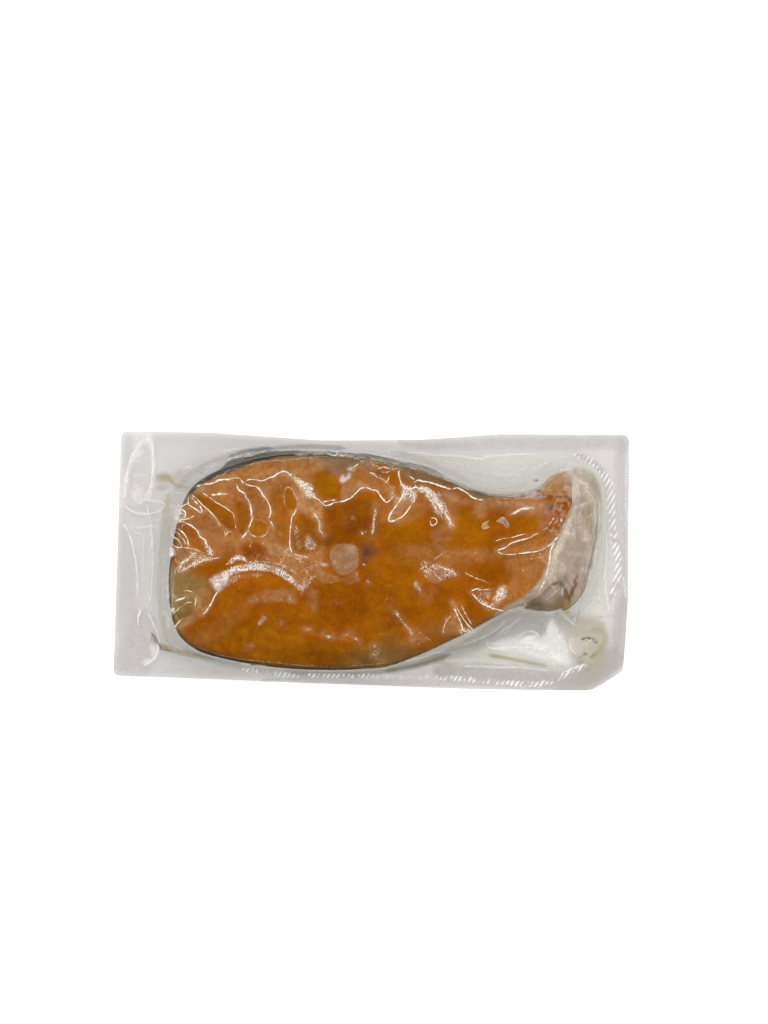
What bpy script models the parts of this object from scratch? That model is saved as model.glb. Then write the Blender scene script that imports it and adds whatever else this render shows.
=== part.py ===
"""A raw salmon steak sealed in a clear vacuum pack, as one closed solid.

The pack lies flat: a thin welded rim all round, and in the middle the film drawn down tightly
over the steak. The solid is a loft of closed rings round a line that runs from the back to the
belly. The rings go over the crown, down the tented side, out along the rim and back under it.
Folds of the film are raised on them.

Sizes are in metres, +Z is up, and the origin is under the middle of the pack, on the table.
"""

import math

import bmesh
import bpy
import numpy as np

MM = 0.001

# Driving dimensions: the pack is 212 x 107 mm, the steak in it 22 mm thick at the back.
BACK_HEIGHT = 22.0 * MM
BELLY_HEIGHT = 16.5 * MM
LINING_HEIGHT = 8.5 * MM
BACK_END_X = 5.0 * MM
BELLY_START_X = 62.0 * MM
LINING_END_X = 96.0 * MM

# The crown rounds off towards the steak's edge over this reach, and drops by this much there.
SHOULDER_REACH = 8.0 * MM
SHOULDER_DROP = 3.2 * MM

# The film leaves the steak's edge steeply and lands on the rim this far out, where there is room.
TENT_REACH = 12.0 * MM
TENT_SHARE_OF_GAP = 0.6
TENT_STEEPNESS = 2.8

RIM_THICKNESS = 0.8 * MM
RIM_HEIGHT = 1.1 * MM
RIM_CURL = 1.3 * MM
RIM_WAVES = 5
RIM_WAVE_HEIGHT = 0.45 * MM

# The line that the rings close on, from the back of the fish to the belly's lining.
LINE_START = (-44.0 * MM, -1.0 * MM)
LINE_END = (78.0 * MM, 9.0 * MM)
LINE_BEND = 1.6

# The backbone's end.
BACKBONE = (-10.7 * MM, 0.8 * MM)
BACKBONE_RADIUS = 6.2 * MM
BACKBONE_RISE = 0.5 * MM

SECTORS = 180
CROWN_RINGS = 15
INNER_RING = 0.07
TENT_STEPS = (0.06, 0.16, 0.32, 0.54, 0.76, 1.0)
RIM_STEPS = (0.35, 0.7, 1.0)
SPLINE_STEPS = 24
CORNER_STEP = math.radians(15.0)

# The pack's corners in millimetres, each with the radius that rounds it. The long edges bow in
# a little where the vacuum pulls on them, and the corner by the belly is cut off.
PACK_CORNERS_MM = (
    (-102.9, 53.3, 2.5),
    (-68.1, 52.9, 60.0),
    (-20.9, 49.6, 60.0),
    (20.1, 49.8, 60.0),
    (52.9, 52.1, 60.0),
    (106.2, 51.9, 3.0),
    (105.8, -16.0, 80.0),
    (103.7, -45.5, 3.0),
    (90.6, -53.3, 4.0),
    (44.7, -52.9, 60.0),
    (-29.1, -50.2, 80.0),
    (-106.0, -47.2, 2.5),
)

# The steak's edge in millimetres, anticlockwise from the back of the fish at the left: the lower
# flank, the gristle below the belly, the belly's lining, the flap above it and the upper flank.
STEAK_EDGE_MM = (
    (-82.6, -11.9),
    (-80.4, -25.8),
    (-75.9, -32.8),
    (-68.1, -37.6),
    (-53.7, -41.2),
    (-37.3, -43.6),
    (-20.9, -44.5),
    (-4.5, -44.2),
    (9.8, -42.3),
    (34.4, -32.0),
    (57.0, -20.2),
    (67.5, -18.7),
    (78.0, -20.0),
    (85.5, -16.0),
    (91.0, -4.5),
    (93.6, 9.0),
    (94.2, 23.0),
    (91.5, 34.0),
    (84.0, 38.3),
    (76.0, 35.5),
    (67.2, 29.5),
    (54.9, 27.3),
    (40.6, 29.8),
    (26.2, 36.1),
    (11.9, 40.6),
    (-4.5, 43.5),
    (-20.9, 44.3),
    (-37.3, 43.7),
    (-51.7, 41.0),
    (-64.8, 35.9),
    (-74.2, 28.7),
    (-79.1, 16.0),
    (-81.8, 1.0),
)

# Folds in the film in millimetres: where each starts and ends, its height and its half width.
FOLDS_MM = (
    ("back_fan_1", (-74.0, 27.0), (-49.0, 11.0), 1.1, 2.2),
    ("back_fan_2", (-73.0, 30.0), (-50.0, 33.0), 0.9, 2.0),
    ("back_fan_3", (-79.0, 16.0), (-62.0, 3.0), 1.1, 2.2),
    ("back_fan_4", (-80.0, -9.0), (-64.0, 1.0), 1.1, 2.2),
    ("back_fan_5", (-79.0, -27.0), (-68.0, -15.0), 0.9, 2.0),
    ("back_arch_1", (-50.0, 31.0), (-42.0, 12.0), 1.1, 2.0),
    ("back_arch_2", (-34.0, 36.0), (-20.0, 21.0), 1.2, 2.4),
    ("loin_ridge", (-66.0, -17.0), (-50.0, -3.0), 1.4, 2.6),
    ("loin_crest", (-50.0, -3.0), (-28.0, -11.0), 1.4, 2.6),
    ("upper_wave_1", (-20.0, 24.0), (-4.0, 29.0), 1.2, 2.2),
    ("upper_wave_2", (-4.0, 29.0), (7.0, 25.0), 1.2, 2.2),
    ("upper_loop", (7.0, 17.0), (18.0, 30.0), 1.2, 2.4),
    ("upper_spray", (20.0, 29.0), (33.0, 17.0), 1.4, 2.6),
    ("flank_line", (17.0, 32.0), (44.0, 25.0), 1.1, 2.0),
    ("belly_fork_1", (51.0, 5.0), (76.0, 15.0), 1.2, 2.2),
    ("belly_fork_2", (51.0, 4.0), (74.0, 6.0), 1.2, 2.2),
    ("belly_star", (42.0, -12.0), (57.0, -19.0), 1.2, 2.4),
    ("lower_star", (32.0, -17.0), (41.0, -28.0), 1.1, 2.2),
    ("corner_tuck_1", (60.0, -36.0), (82.0, -33.0), 2.2, 3.4),
    ("corner_tuck_2", (74.0, -27.0), (80.0, -42.0), 2.0, 3.2),
    ("corner_tuck_3", (40.0, -36.0), (66.0, -45.0), 1.6, 3.0),
    ("weld_blister", (-97.0, 42.0), (-92.0, 24.0), 1.9, 3.2),
    ("weld_ridge_1", (-94.0, 22.0), (-90.0, -20.0), 1.2, 2.6),
    ("weld_ridge_2", (-101.0, 18.0), (-96.0, -12.0), 1.1, 2.4),
    ("weld_curl", (-96.0, -24.0), (-89.0, -40.0), 1.6, 3.0),
)

PACK_COLOUR = (0.38, 0.17, 0.06, 1.0)
PACK_ROUGHNESS = 0.18


def clear_scene():
    """Removes every object of the startup scene."""
    for item in list(bpy.data.objects):
        bpy.data.objects.remove(item, do_unlink=True)


def plastic(name, colour, roughness):
    """A Principled material of one colour, for film that lies tight on what it holds."""
    material = bpy.data.materials.new(name)
    material.use_nodes = True
    shader = material.node_tree.nodes["Principled BSDF"]
    shader.inputs["Base Color"].default_value = colour
    shader.inputs["Roughness"].default_value = roughness
    shader.inputs["Metallic"].default_value = 0.0
    return material


def rounded_outline(corners):
    """Points round a closed outline of straight runs, each corner replaced by an arc.

    The arc touches both runs at radius * tan(half the turn) from the corner, or nearer the
    corner where a run is short. It is drawn as a quadratic curve with the corner as its handle.
    """
    points = []
    count = len(corners)
    for i, (x, y, radius) in enumerate(corners):
        corner = np.array((x, y)) * MM
        before = np.array(corners[i - 1][:2]) * MM - corner
        after = np.array(corners[(i + 1) % count][:2]) * MM - corner
        reach_before, reach_after = np.linalg.norm(before), np.linalg.norm(after)
        before, after = before / reach_before, after / reach_after
        turn = math.pi - math.acos(np.clip(before @ after, -1.0, 1.0))
        cut = min(radius * MM * math.tan(turn / 2), 0.48 * reach_before, 0.48 * reach_after)
        start, end = corner + before * cut, corner + after * cut
        steps = max(2, math.ceil(turn / CORNER_STEP))
        for t in np.linspace(0.0, 1.0, steps + 1):
            points.append((1 - t) ** 2 * start + 2 * t * (1 - t) * corner + t**2 * end)
    return np.array(points)


def smooth_outline(controls):
    """Points round a closed Catmull-Rom curve through the control points."""
    knots = np.array(controls) * MM
    t = np.linspace(0.0, 1.0, SPLINE_STEPS, endpoint=False)[:, None]
    runs = []
    for i in range(len(knots)):
        a, b, c, d = (knots[(i + k) % len(knots)] for k in (-1, 0, 1, 2))
        bend = 2 * b + (c - a) * t + (2 * a - 5 * b + 4 * c - d) * t**2
        runs.append(0.5 * (bend + (3 * b - a - 3 * c + d) * t**3))
    return np.concatenate(runs)


def evenly_round(outline, count):
    """Points spaced evenly along a closed outline."""
    closed = np.vstack((outline, outline[:1]))
    along = np.concatenate(([0.0], np.cumsum(np.linalg.norm(np.diff(closed, axis=0), axis=1))))
    at = np.linspace(0.0, along[-1], count, endpoint=False)
    return np.column_stack([np.interp(at, along, closed[:, k]) for k in range(2)])


def on_line(x):
    """The place on the middle line that faces each x: it runs level, then lifts to the belly."""
    share = np.clip((x - LINE_START[0]) / (LINE_END[0] - LINE_START[0]), 0.0, 1.0)
    along = LINE_START[0] + share * (LINE_END[0] - LINE_START[0])
    across = LINE_START[1] + share**LINE_BEND * (LINE_END[1] - LINE_START[1])
    return np.column_stack((along, across))


def cross(a, b):
    """The flat cross product of two sets of vectors."""
    return a[..., 0] * b[..., 1] - a[..., 1] * b[..., 0]


def reach(starts, headings, outline):
    """How far each ray goes from its start before it crosses the closed outline."""
    run = np.roll(outline, -1, axis=0) - outline
    offset = outline[None, :, :] - starts[:, None, :]
    heading = headings[:, None, :]
    slant = cross(heading, run[None, :, :])
    slant = np.where(np.abs(slant) < 1e-15, 1e-15, slant)
    ahead = cross(offset, run[None, :, :]) / slant
    share = cross(offset, heading) / slant
    hit = (ahead > 0.0) & (share >= -1e-9) & (share <= 1.0 + 1e-9)
    return np.where(hit, ahead, np.inf).min(axis=1)


def eased(t):
    """0 to 1 with no slope at either end."""
    t = np.clip(t, 0.0, 1.0)
    return t * t * (3.0 - 2.0 * t)


def steak_height(x):
    """The crown's height along the pack: thick at the back, thinner to the belly and its lining."""
    to_belly = eased((x - BACK_END_X) / (BELLY_START_X - BACK_END_X))
    to_lining = eased((x - BELLY_START_X) / (LINING_END_X - BELLY_START_X))
    height = BACK_HEIGHT + (BELLY_HEIGHT - BACK_HEIGHT) * to_belly
    return height + (LINING_HEIGHT - BELLY_HEIGHT) * to_lining


def fold_height(x, y):
    """The folds' rise: along each, a bell across its line that dies away past its ends."""
    rise = np.zeros_like(x)
    for _, start, end, height, half_width in FOLDS_MM:
        start, end = np.array(start) * MM, np.array(end) * MM
        run = end - start
        along = ((x - start[0]) * run[0] + (y - start[1]) * run[1]) / (run @ run)
        near = np.clip(along, 0.0, 1.0)
        distance = np.hypot(x - start[0] - near * run[0], y - start[1] - near * run[1])
        rise = np.maximum(rise, height * MM * np.exp(-((distance / (half_width * MM)) ** 2)))
    return rise


def backbone_height(x, y):
    """A low round boss where the backbone's end presses up under the film."""
    distance = np.hypot(x - BACKBONE[0], y - BACKBONE[1])
    return BACKBONE_RISE * (1.0 - eased((distance - 0.75 * BACKBONE_RADIUS) / (0.5 * BACKBONE_RADIUS)))


def flesh_swell(x, y):
    """The slow rise and fall of the cut flesh, two crossed waves of about 40 mm."""
    return 0.55 * MM * (np.sin(x / (7.0 * MM) + 0.6) * np.cos(y / (6.0 * MM) - 0.4))


def crown_height(x, y, from_edge):
    """The film's height over the steak. from_edge is the distance in from the steak's edge."""
    rounding = np.clip(1.0 - from_edge / SHOULDER_REACH, 0.0, 1.0)
    drop = SHOULDER_DROP * (1.0 - np.sqrt(1.0 - 0.96 * rounding**2))
    relief = flesh_swell(x, y) + fold_height(x, y)
    return steak_height(x) - drop + (1.0 - 0.6 * rounding) * relief + backbone_height(x, y)


def rim_height(turn, outward, x, y):
    """The welded rim's height. turn goes once round the pack, outward from the tent to the edge."""
    wave = RIM_WAVE_HEIGHT * np.sin(RIM_WAVES * turn + 0.8) * eased(outward)
    return RIM_HEIGHT + RIM_CURL * outward**2 + wave + fold_height(x, y) * (1.0 - outward) ** 0.5


def pack_rings():
    """The loft's rings over the crown, down the tent and out and back under the rim.

    Each ring is (x, y, z) along rays that leave the middle line for points of the pack's edge.
    """
    edge = evenly_round(rounded_outline(PACK_CORNERS_MM), SECTORS)
    starts = on_line(edge[:, 0])
    headings = edge - starts
    to_rim_edge = np.linalg.norm(headings, axis=1)
    headings = headings / to_rim_edge[:, None]
    to_steak = reach(starts, headings, smooth_outline(STEAK_EDGE_MM))
    to_foot = to_steak + np.minimum(TENT_REACH, TENT_SHARE_OF_GAP * (to_rim_edge - to_steak))
    turn = np.linspace(0.0, 2 * math.pi, SECTORS, endpoint=False)

    def at(distance):
        point = starts + headings * distance[:, None]
        return point[:, 0], point[:, 1]

    rings = []
    for share in INNER_RING + (1.0 - INNER_RING) * np.linspace(0.0, 1.0, CROWN_RINGS) ** 0.85:
        x, y = at(to_steak * share)
        rings.append((x, y, crown_height(x, y, to_steak * (1.0 - share))))
    edge_height = rings[-1][2]
    x, y = at(to_foot)
    foot_height = rim_height(turn, 0.0, x, y)
    for step in TENT_STEPS:
        x, y = at(to_steak + step * (to_foot - to_steak))
        fall = (1.0 - step) ** TENT_STEEPNESS
        rings.append((x, y, foot_height + (edge_height - foot_height) * fall))
    rim = [(outward, *at(to_foot + outward * (to_rim_edge - to_foot))) for outward in RIM_STEPS]
    for outward, x, y in rim:
        rings.append((x, y, rim_height(turn, outward, x, y)))
    for outward, x, y in reversed(rim):
        rings.append((x, y, rim_height(turn, outward, x, y) - RIM_THICKNESS))
    x, y = at(to_foot)
    rings.append((x, y, np.zeros_like(x)))
    return rings


def loft(name, rings):
    """A closed mesh through the rings, with the first and the last filled."""
    mesh = bmesh.new()
    rows = [[mesh.verts.new(point) for point in zip(*ring)] for ring in rings]
    for inner, outer in zip(rows, rows[1:]):
        for i in range(SECTORS):
            j = (i + 1) % SECTORS
            mesh.faces.new((inner[i], inner[j], outer[j], outer[i]))
    mesh.faces.new(list(reversed(rows[0])))
    mesh.faces.new(rows[-1])
    bmesh.ops.triangulate(mesh, faces=[face for face in mesh.faces if len(face.verts) > 4])
    data = bpy.data.meshes.new(name)
    mesh.to_mesh(data)
    mesh.free()
    return data


def centred(rings):
    """The rings moved so that the pack's middle is over the origin and its base at height 0."""
    x, y, z = (np.array([ring[k] for ring in rings]) for k in range(3))
    x_shift, y_shift = (x.max() + x.min()) / 2, (y.max() + y.min()) / 2
    return [(ring[0] - x_shift, ring[1] - y_shift, ring[2] - z.min()) for ring in rings]


def build_vacuum_pack():
    """The sealed pack with the steak in it, as one named object."""
    data = loft("vacuum_pack", centred(pack_rings()))
    data.materials.append(plastic("packed_steak", PACK_COLOUR, PACK_ROUGHNESS))
    data.shade_smooth()
    data.set_sharp_from_angle(angle=math.radians(50.0))
    pack = bpy.data.objects.new("vacuum_pack", data)
    bpy.context.scene.collection.objects.link(pack)
    return pack


def main():
    clear_scene()
    build_vacuum_pack()


main()
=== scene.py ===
"""The looks of a raw salmon steak sealed in a clear vacuum pack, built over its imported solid.

Film, flesh, skin, backbone and belly lining are surfaces worked out with numpy on nets of rays.
The rays leave a middle line for the pack's edge, as they do in the solid. Places on the steak
are read off the photograph, in its pixels, and PHOTO turns them into metres.

Folds and marks stand in text tables. A fold's row holds its strength and the places of its
route. A mark's row holds its strength, its colour where it has one, its kind, and then its sizes
and places in the order of that kind's class. A colour is a hue's name, or its red, green and
blue in percent, linear. A line that starts with a place goes on with the row above it.
"""

import logging
import math
from dataclasses import dataclass, field
from enum import Enum
from typing import Any, Callable, Sequence

import bpy
import numpy as np
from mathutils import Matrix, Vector

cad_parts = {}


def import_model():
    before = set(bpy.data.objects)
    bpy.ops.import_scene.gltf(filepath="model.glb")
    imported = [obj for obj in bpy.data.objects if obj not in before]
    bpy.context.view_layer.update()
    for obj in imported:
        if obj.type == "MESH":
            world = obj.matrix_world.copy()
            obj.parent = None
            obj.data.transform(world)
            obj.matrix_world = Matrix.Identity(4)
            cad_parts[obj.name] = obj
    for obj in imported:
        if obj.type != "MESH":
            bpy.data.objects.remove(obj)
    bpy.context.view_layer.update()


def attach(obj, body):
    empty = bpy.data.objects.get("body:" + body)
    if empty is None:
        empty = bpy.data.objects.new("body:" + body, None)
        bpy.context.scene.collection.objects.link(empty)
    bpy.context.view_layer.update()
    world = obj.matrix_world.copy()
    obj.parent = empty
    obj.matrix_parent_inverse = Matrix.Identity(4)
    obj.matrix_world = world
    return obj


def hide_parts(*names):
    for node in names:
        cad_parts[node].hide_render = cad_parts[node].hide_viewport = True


LOG = logging.getLogger("salmon_pack")
Array = np.ndarray
Colour = tuple[float, float, float]
Material = bpy.types.Material
Socket = bpy.types.NodeSocket

MM = 0.001
TAU = 2.0 * math.pi
NODE = "vacuum_pack"
BODY = "root"
WELD_STEP = 1e-7


class Slot(Enum):
    """The record's material slots."""

    FILM = "clear_film"
    FLESH = "salmon_flesh"
    SKIN = "fish_skin"
    BONE = "backbone"
    LINING = "belly_lining"
    JUICE = "juice"


class Hue(Enum):
    """Colours that several marks share, linear."""

    WHITE = (0.95, 0.94, 0.92)
    CREAM = (0.98, 0.87, 0.72)
    PEACH_LINE = (0.94, 0.74, 0.53)
    SHADE = (0.2, 0.185, 0.16)
    VEIL = (0.95, 0.66, 0.33)
    PEACH_VEIL = (0.9, 0.62, 0.3)
    # A grey for the steak's painted shadow on the film.
    GREY_VEIL = (0.36, 0.345, 0.3)
    # Milky film, and the painted glints on it.
    MILK = (0.92, 0.91, 0.89)
    OLIVE = (0.4, 0.33, 0.12)
    OLIVE_DEEP = (0.16, 0.11, 0.03)
    PINK_GREY = (0.5, 0.47, 0.46)
    AMBER = (0.47, 0.137, 0.0018)
    DEEP_AMBER = (0.36, 0.1, 0.001)
    YELLOW_AMBER = (0.49, 0.168, 0.0018)
    RED_AMBER = (0.4, 0.105, 0.004)
    PALE_AMBER = (0.47, 0.17, 0.018)
    FLANK_FAT = (0.44, 0.29, 0.11)
    OLIVE_FAT = (0.3, 0.22, 0.1)
    BROWN_FAT = (0.23, 0.135, 0.04)
    BLOOD = (0.2, 0.08, 0.045)
    LINING_PALE = (0.5, 0.42, 0.33)


# -------- text tables


def numbers(text: str) -> Array:
    """Rows of numbers, written "right,down right,down" and so on."""
    return np.array([group.split(",") for group in text.split()], float)


def rows_of(table: str) -> list[list[str]]:
    """Splits a table into the words of its rows.

    Args:
        table: The text. A line that starts with a place goes on with the row above.

    Returns:
        The words of each row, without its comment.
    """
    rows = []
    for line in table.splitlines():
        words = line.partition("#")[0].split()
        if words and "," in words[0]:
            rows[-1] += words
        elif words:
            rows.append(words)
    return rows


def colour_of(word: str) -> Colour:
    """A colour from its red, green and blue in percent or from a hue's name."""
    return tuple(numbers(word)[0] / 100.0) if "," in word else Hue[word.upper()].value


# -------- shapes in numbers


@dataclass(frozen=True)
class PhotoFrame:
    """Where the photograph's pixels lie on the pack, which it shows from straight above."""

    mm_per_px: float = 0.41
    middle: tuple[float, float] = (371.0, 561.0)
    width: int = 768
    height: int = 1024

    def place(self, pixels: Any) -> Array:
        """Turns pixel places, each (right, down), into the pack's metres, with y up."""
        offset = np.asarray(pixels, float) - np.asarray(self.middle)
        return offset * (self.mm_per_px * MM, -self.mm_per_px * MM)

    def route(self, text: str) -> Array:
        """Turns a line of pixels, written as text, into metres."""
        return self.place(numbers(text))


PHOTO = PhotoFrame()


def eased(t: Array) -> Array:
    """Rises from 0 to 1 with no slope at either end: t * t * (3 - 2 t)."""
    t = np.clip(t, 0.0, 1.0)
    return t * t * (3.0 - 2.0 * t)


def between(low: float, high: float, value: Array) -> Array:
    """Is 0 up to low and 1 past high, eased between them."""
    return eased((value - low) / (high - low))


def cross(a: Array, b: Array) -> Array:
    """The flat cross product of two sets of vectors."""
    return a[..., 0] * b[..., 1] - a[..., 1] * b[..., 0]


def length_of(path: Array) -> float:
    """The length of a path."""
    return float(np.linalg.norm(np.diff(path, axis=0), axis=1).sum())


def rounded_outline(corners: Array, step: float) -> Array:
    """Straight runs between corners, each corner replaced by a curve that its radius sizes.

    The curve touches both runs at radius * tan(half the turn) from the corner, and is quadratic
    with the corner as its handle.

    Args:
        corners: (x, y, radius) rows in millimetres.
        step: The turn in radians that one piece of the curve covers.

    Returns:
        Rows of (x, y) in metres.
    """
    points = []
    for i, (x, y, radius) in enumerate(corners):
        corner = np.array((x, y)) * MM
        before = corners[i - 1][:2] * MM - corner
        after = corners[(i + 1) % len(corners)][:2] * MM - corner
        reach_before, reach_after = np.linalg.norm(before), np.linalg.norm(after)
        before, after = before / reach_before, after / reach_after
        turn = math.pi - math.acos(np.clip(before @ after, -1.0, 1.0))
        cut = min(radius * MM * math.tan(turn / 2), 0.48 * reach_before, 0.48 * reach_after)
        start, end = corner + before * cut, corner + after * cut
        t = np.linspace(0.0, 1.0, max(2, math.ceil(turn / step)) + 1)[:, None]
        points.append((1 - t) ** 2 * start + 2 * t * (1 - t) * corner + t**2 * end)
    return np.concatenate(points)


def smooth_path(knots: Array, steps: int, closed: bool) -> Array:
    """A Catmull-Rom curve through the knots: each run bends to its neighbours' slopes.

    Args:
        knots: Rows of (x, y).
        steps: Points to a run.
        closed: Whether the last point joins the first.

    Returns:
        Rows of (x, y) along the curve.
    """
    if closed:
        padded = np.vstack((knots[-1:], knots, knots[:2]))
    else:
        padded = np.vstack((2 * knots[:1] - knots[1:2], knots, 2 * knots[-1:] - knots[-2:-1]))
    ends = (padded[:-3], padded[1:-2], padded[2:-1], padded[3:])
    a, b, c, d = (end[:, None, :] for end in ends)
    t = np.linspace(0.0, 1.0, steps, endpoint=False)[None, :, None]
    bend = 2 * b + (c - a) * t + (2 * a - 5 * b + 4 * c - d) * t**2
    curve = (0.5 * (bend + (3 * b - a - 3 * c + d) * t**3)).reshape(-1, 2)
    return curve if closed else np.vstack((curve, knots[-1:]))


def evenly_along(path: Array, spacing: float) -> Array:
    """Places points evenly along an open path.

    Args:
        path: Rows of (x, y).
        spacing: The most that two neighbours may be apart.

    Returns:
        Rows of (x, y), at least three.
    """
    along = np.concatenate(([0.0], np.cumsum(np.linalg.norm(np.diff(path, axis=0), axis=1))))
    count = max(3, math.ceil(along[-1] / spacing) + 1)
    at = np.linspace(0.0, along[-1], count)
    return np.column_stack([np.interp(at, along, path[:, k]) for k in range(path.shape[1])])


def reach(starts: Array, headings: Array, outline: Array) -> Array:
    """Finds how far each ray goes before it first crosses a closed outline.

    Args:
        starts: Rows of (x, y).
        headings: A unit vector for each ray.
        outline: Rows of (x, y).

    Returns:
        The distance along each ray.
    """
    run = np.roll(outline, -1, axis=0) - outline
    offset = outline[None, :, :] - starts[:, None, :]
    heading = headings[:, None, :]
    slant = cross(heading, run[None, :, :])
    slant = np.where(np.abs(slant) < 1e-15, 1e-15, slant)
    ahead = cross(offset, run[None, :, :]) / slant
    share = cross(offset, heading) / slant
    hit = (ahead > 0.0) & (share >= -1e-9) & (share <= 1.0 + 1e-9)
    return np.where(hit, ahead, np.inf).min(axis=1)


def lattice_noise(x: Array, y: Array, cell: float, seed: int) -> Array:
    """Smooth noise: seeded values on a square lattice, eased between neighbours.

    Args:
        x, y: Arrays of places.
        cell: The lattice's spacing.
        seed: Picks its values.

    Returns:
        A value from -1 to 1 for each place.
    """
    values = np.random.default_rng(seed).uniform(-1.0, 1.0, (256, 256))
    column, row = np.floor(x / cell), np.floor(y / cell)
    across, up = eased(x / cell - column), eased(y / cell - row)
    column, row = column.astype(int) % 256, row.astype(int) % 256
    right, above = (column + 1) % 256, (row + 1) % 256
    low = values[column, row] * (1 - across) + values[right, row] * across
    high = values[column, above] * (1 - across) + values[right, above] * across
    return low * (1 - up) + high * up


def rough_noise(x: Array, y: Array, cell: float, seed: int) -> Array:
    """Three lattice noises, each at half the cell and half the strength of the last.

    Args:
        x, y: Arrays of places.
        cell: The coarsest lattice's spacing.
        seed: Picks its values.

    Returns:
        A value from -1.75 to 1.75 for each place.
    """
    total = np.zeros_like(x)
    for octave in range(3):
        total += lattice_noise(x, y, cell / 2**octave, seed + octave) / 2**octave
    return total


def path_distance(x: Array, y: Array, path: Array, margin: float) -> tuple[Array, Array, Array]:
    """The nearest place on a path, for the points within a margin of its box.

    Args:
        x, y: Flat arrays of places.
        path: Rows of (x, y).
        margin: How far from the path's box a point may be.

    Returns:
        The indices of those points, their distances and the length run along the path.
    """
    low, high = path.min(axis=0) - margin, path.max(axis=0) + margin
    near = np.flatnonzero((x > low[0]) & (x < high[0]) & (y > low[1]) & (y < high[1]))
    px, py = x[near], y[near]
    best, along = np.full(near.shape, np.inf), np.zeros(near.shape)
    run_so_far = 0.0
    for start, end in zip(path[:-1], path[1:]):
        run = end - start
        length = float(np.linalg.norm(run))
        share = np.clip(((px - start[0]) * run[0] + (py - start[1]) * run[1]) / length**2, 0.0, 1.0)
        distance = np.hypot(px - start[0] - share * run[0], py - start[1] - share * run[1])
        closer = distance < best
        best = np.where(closer, distance, best)
        along = np.where(closer, run_so_far + share * length, along)
        run_so_far += length
    return near, best, along


def inside_outline(x: Array, y: Array, outline: Array) -> Array:
    """Tells which points lie in a closed outline, which a ray from them crosses an odd number
    of times.

    Args:
        x, y: Flat arrays of places.
        outline: Rows of (x, y).

    Returns:
        True for each point inside.
    """
    odd = np.zeros(x.shape, bool)
    for (x0, y0), (x1, y1) in zip(outline, np.roll(outline, -1, axis=0)):
        if y0 != y1:
            spans = (y > min(y0, y1)) & (y <= max(y0, y1))
            odd ^= spans & (x < x0 + (y - y0) * (x1 - x0) / (y1 - y0))
    return odd


# -------- marks on the surface


@dataclass(frozen=True)
class Spot:
    """An oval mark: solid in its middle and fading over its outer part.

    The route holds its middle and its two radii. fade is the share of the radius over which it
    dies away, and turn is in degrees anticlockwise.
    """

    route: str
    fade: float = 0.9
    turn: float = 0.0

    def mask(self, x: Array, y: Array) -> Array:
        """Works out the mark from each place's share of the radius there.

        Args:
            x, y: Flat arrays of places.

        Returns:
            The strength at each place, from 0 to 1.
        """
        middle, radii = numbers(self.route)
        centre, turn = PHOTO.place(middle), math.radians(self.turn)
        dx, dy = x - centre[0], y - centre[1]
        along = dx * math.cos(turn) + dy * math.sin(turn)
        across = dy * math.cos(turn) - dx * math.sin(turn)
        long, wide = radii * (PHOTO.mm_per_px * MM)
        return 1.0 - between(1.0 - self.fade, 1.0 + 0.3 * self.fade, np.hypot(along / long, across / wide))


@dataclass(frozen=True)
class Stroke:
    """A mark drawn along its route, strongest on it and thinner towards its two ends.

    width is the half width in millimetres, and soft is the share of it that fades.
    """

    route: str
    width: float
    soft: float = 0.9

    def mask(self, x: Array, y: Array) -> Array:
        """Works out the mark from the distance to its route.

        Args:
            x, y: Flat arrays of places.

        Returns:
            The strength at each place, from 0 to 1.
        """
        path = smooth_path(PHOTO.route(self.route), 5, closed=False)
        half = self.width * MM
        near, distance, along = path_distance(x, y, path, 1.2 * half)
        taper = 0.35 + 0.65 * eased(np.minimum(along, length_of(path) - along) / (1.5 * half))
        strength = np.zeros(x.shape)
        strength[near] = 1.0 - between((1.0 - self.soft) * half, half, distance / taper)
        return strength


@dataclass(frozen=True)
class Field:
    """A mark that fills its closed route and fades over soft millimetres at its border."""

    route: str
    soft: float = 1.0

    def mask(self, x: Array, y: Array) -> Array:
        """Works out the mark, which is one half on its outline.

        Args:
            x, y: Flat arrays of places.

        Returns:
            The strength at each place, from 0 to 1.
        """
        outline = smooth_path(PHOTO.route(self.route), 6, closed=True)
        margin = self.soft * MM
        near, distance, _ = path_distance(x, y, np.vstack((outline, outline[:1])), margin)
        inside = inside_outline(x, y, outline)
        strength = np.where(inside, 1.0, 0.0)
        strength[near] = between(-margin, margin, np.where(inside[near], distance, -distance))
        return strength


Mark = Spot | Stroke | Field


class MarkKind(Enum):
    """The kinds of mark that a row can name."""

    SPOT = Spot
    STROKE = Stroke
    FIELD = Field


@dataclass(frozen=True)
class Touch:
    """A mark laid on at an amount from 0 to 1, in a colour."""

    amount: float
    colour: Colour
    mark: Mark

    def strength(self, x: Array, y: Array) -> Array:
        """How strongly it shows at each place."""
        return self.amount * self.mark.mask(x, y)


def read_touches(table: str) -> list[Touch]:
    """Reads a table of marks.

    Args:
        table: The rows, of which those that only mask something name no colour.

    Returns:
        A touch for each row, in their order.
    """
    touches = []
    for amount, *words in rows_of(table):
        tone = "white" if words[0].upper() in MarkKind.__members__ else words.pop(0)
        kind = MarkKind[words.pop(0).upper()].value
        sizes = [float(word) for word in words if "," not in word]
        route = " ".join(words[len(sizes):])
        touches.append(Touch(float(amount), colour_of(tone), kind(route, *sizes)))
    return touches


def strongest(table: str, x: Array, y: Array) -> Array:
    """The strongest mark of a table at each place, and 0 where there is none."""
    return np.max([touch.strength(x, y) for touch in read_touches(table)], axis=0, initial=0.0)


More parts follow.
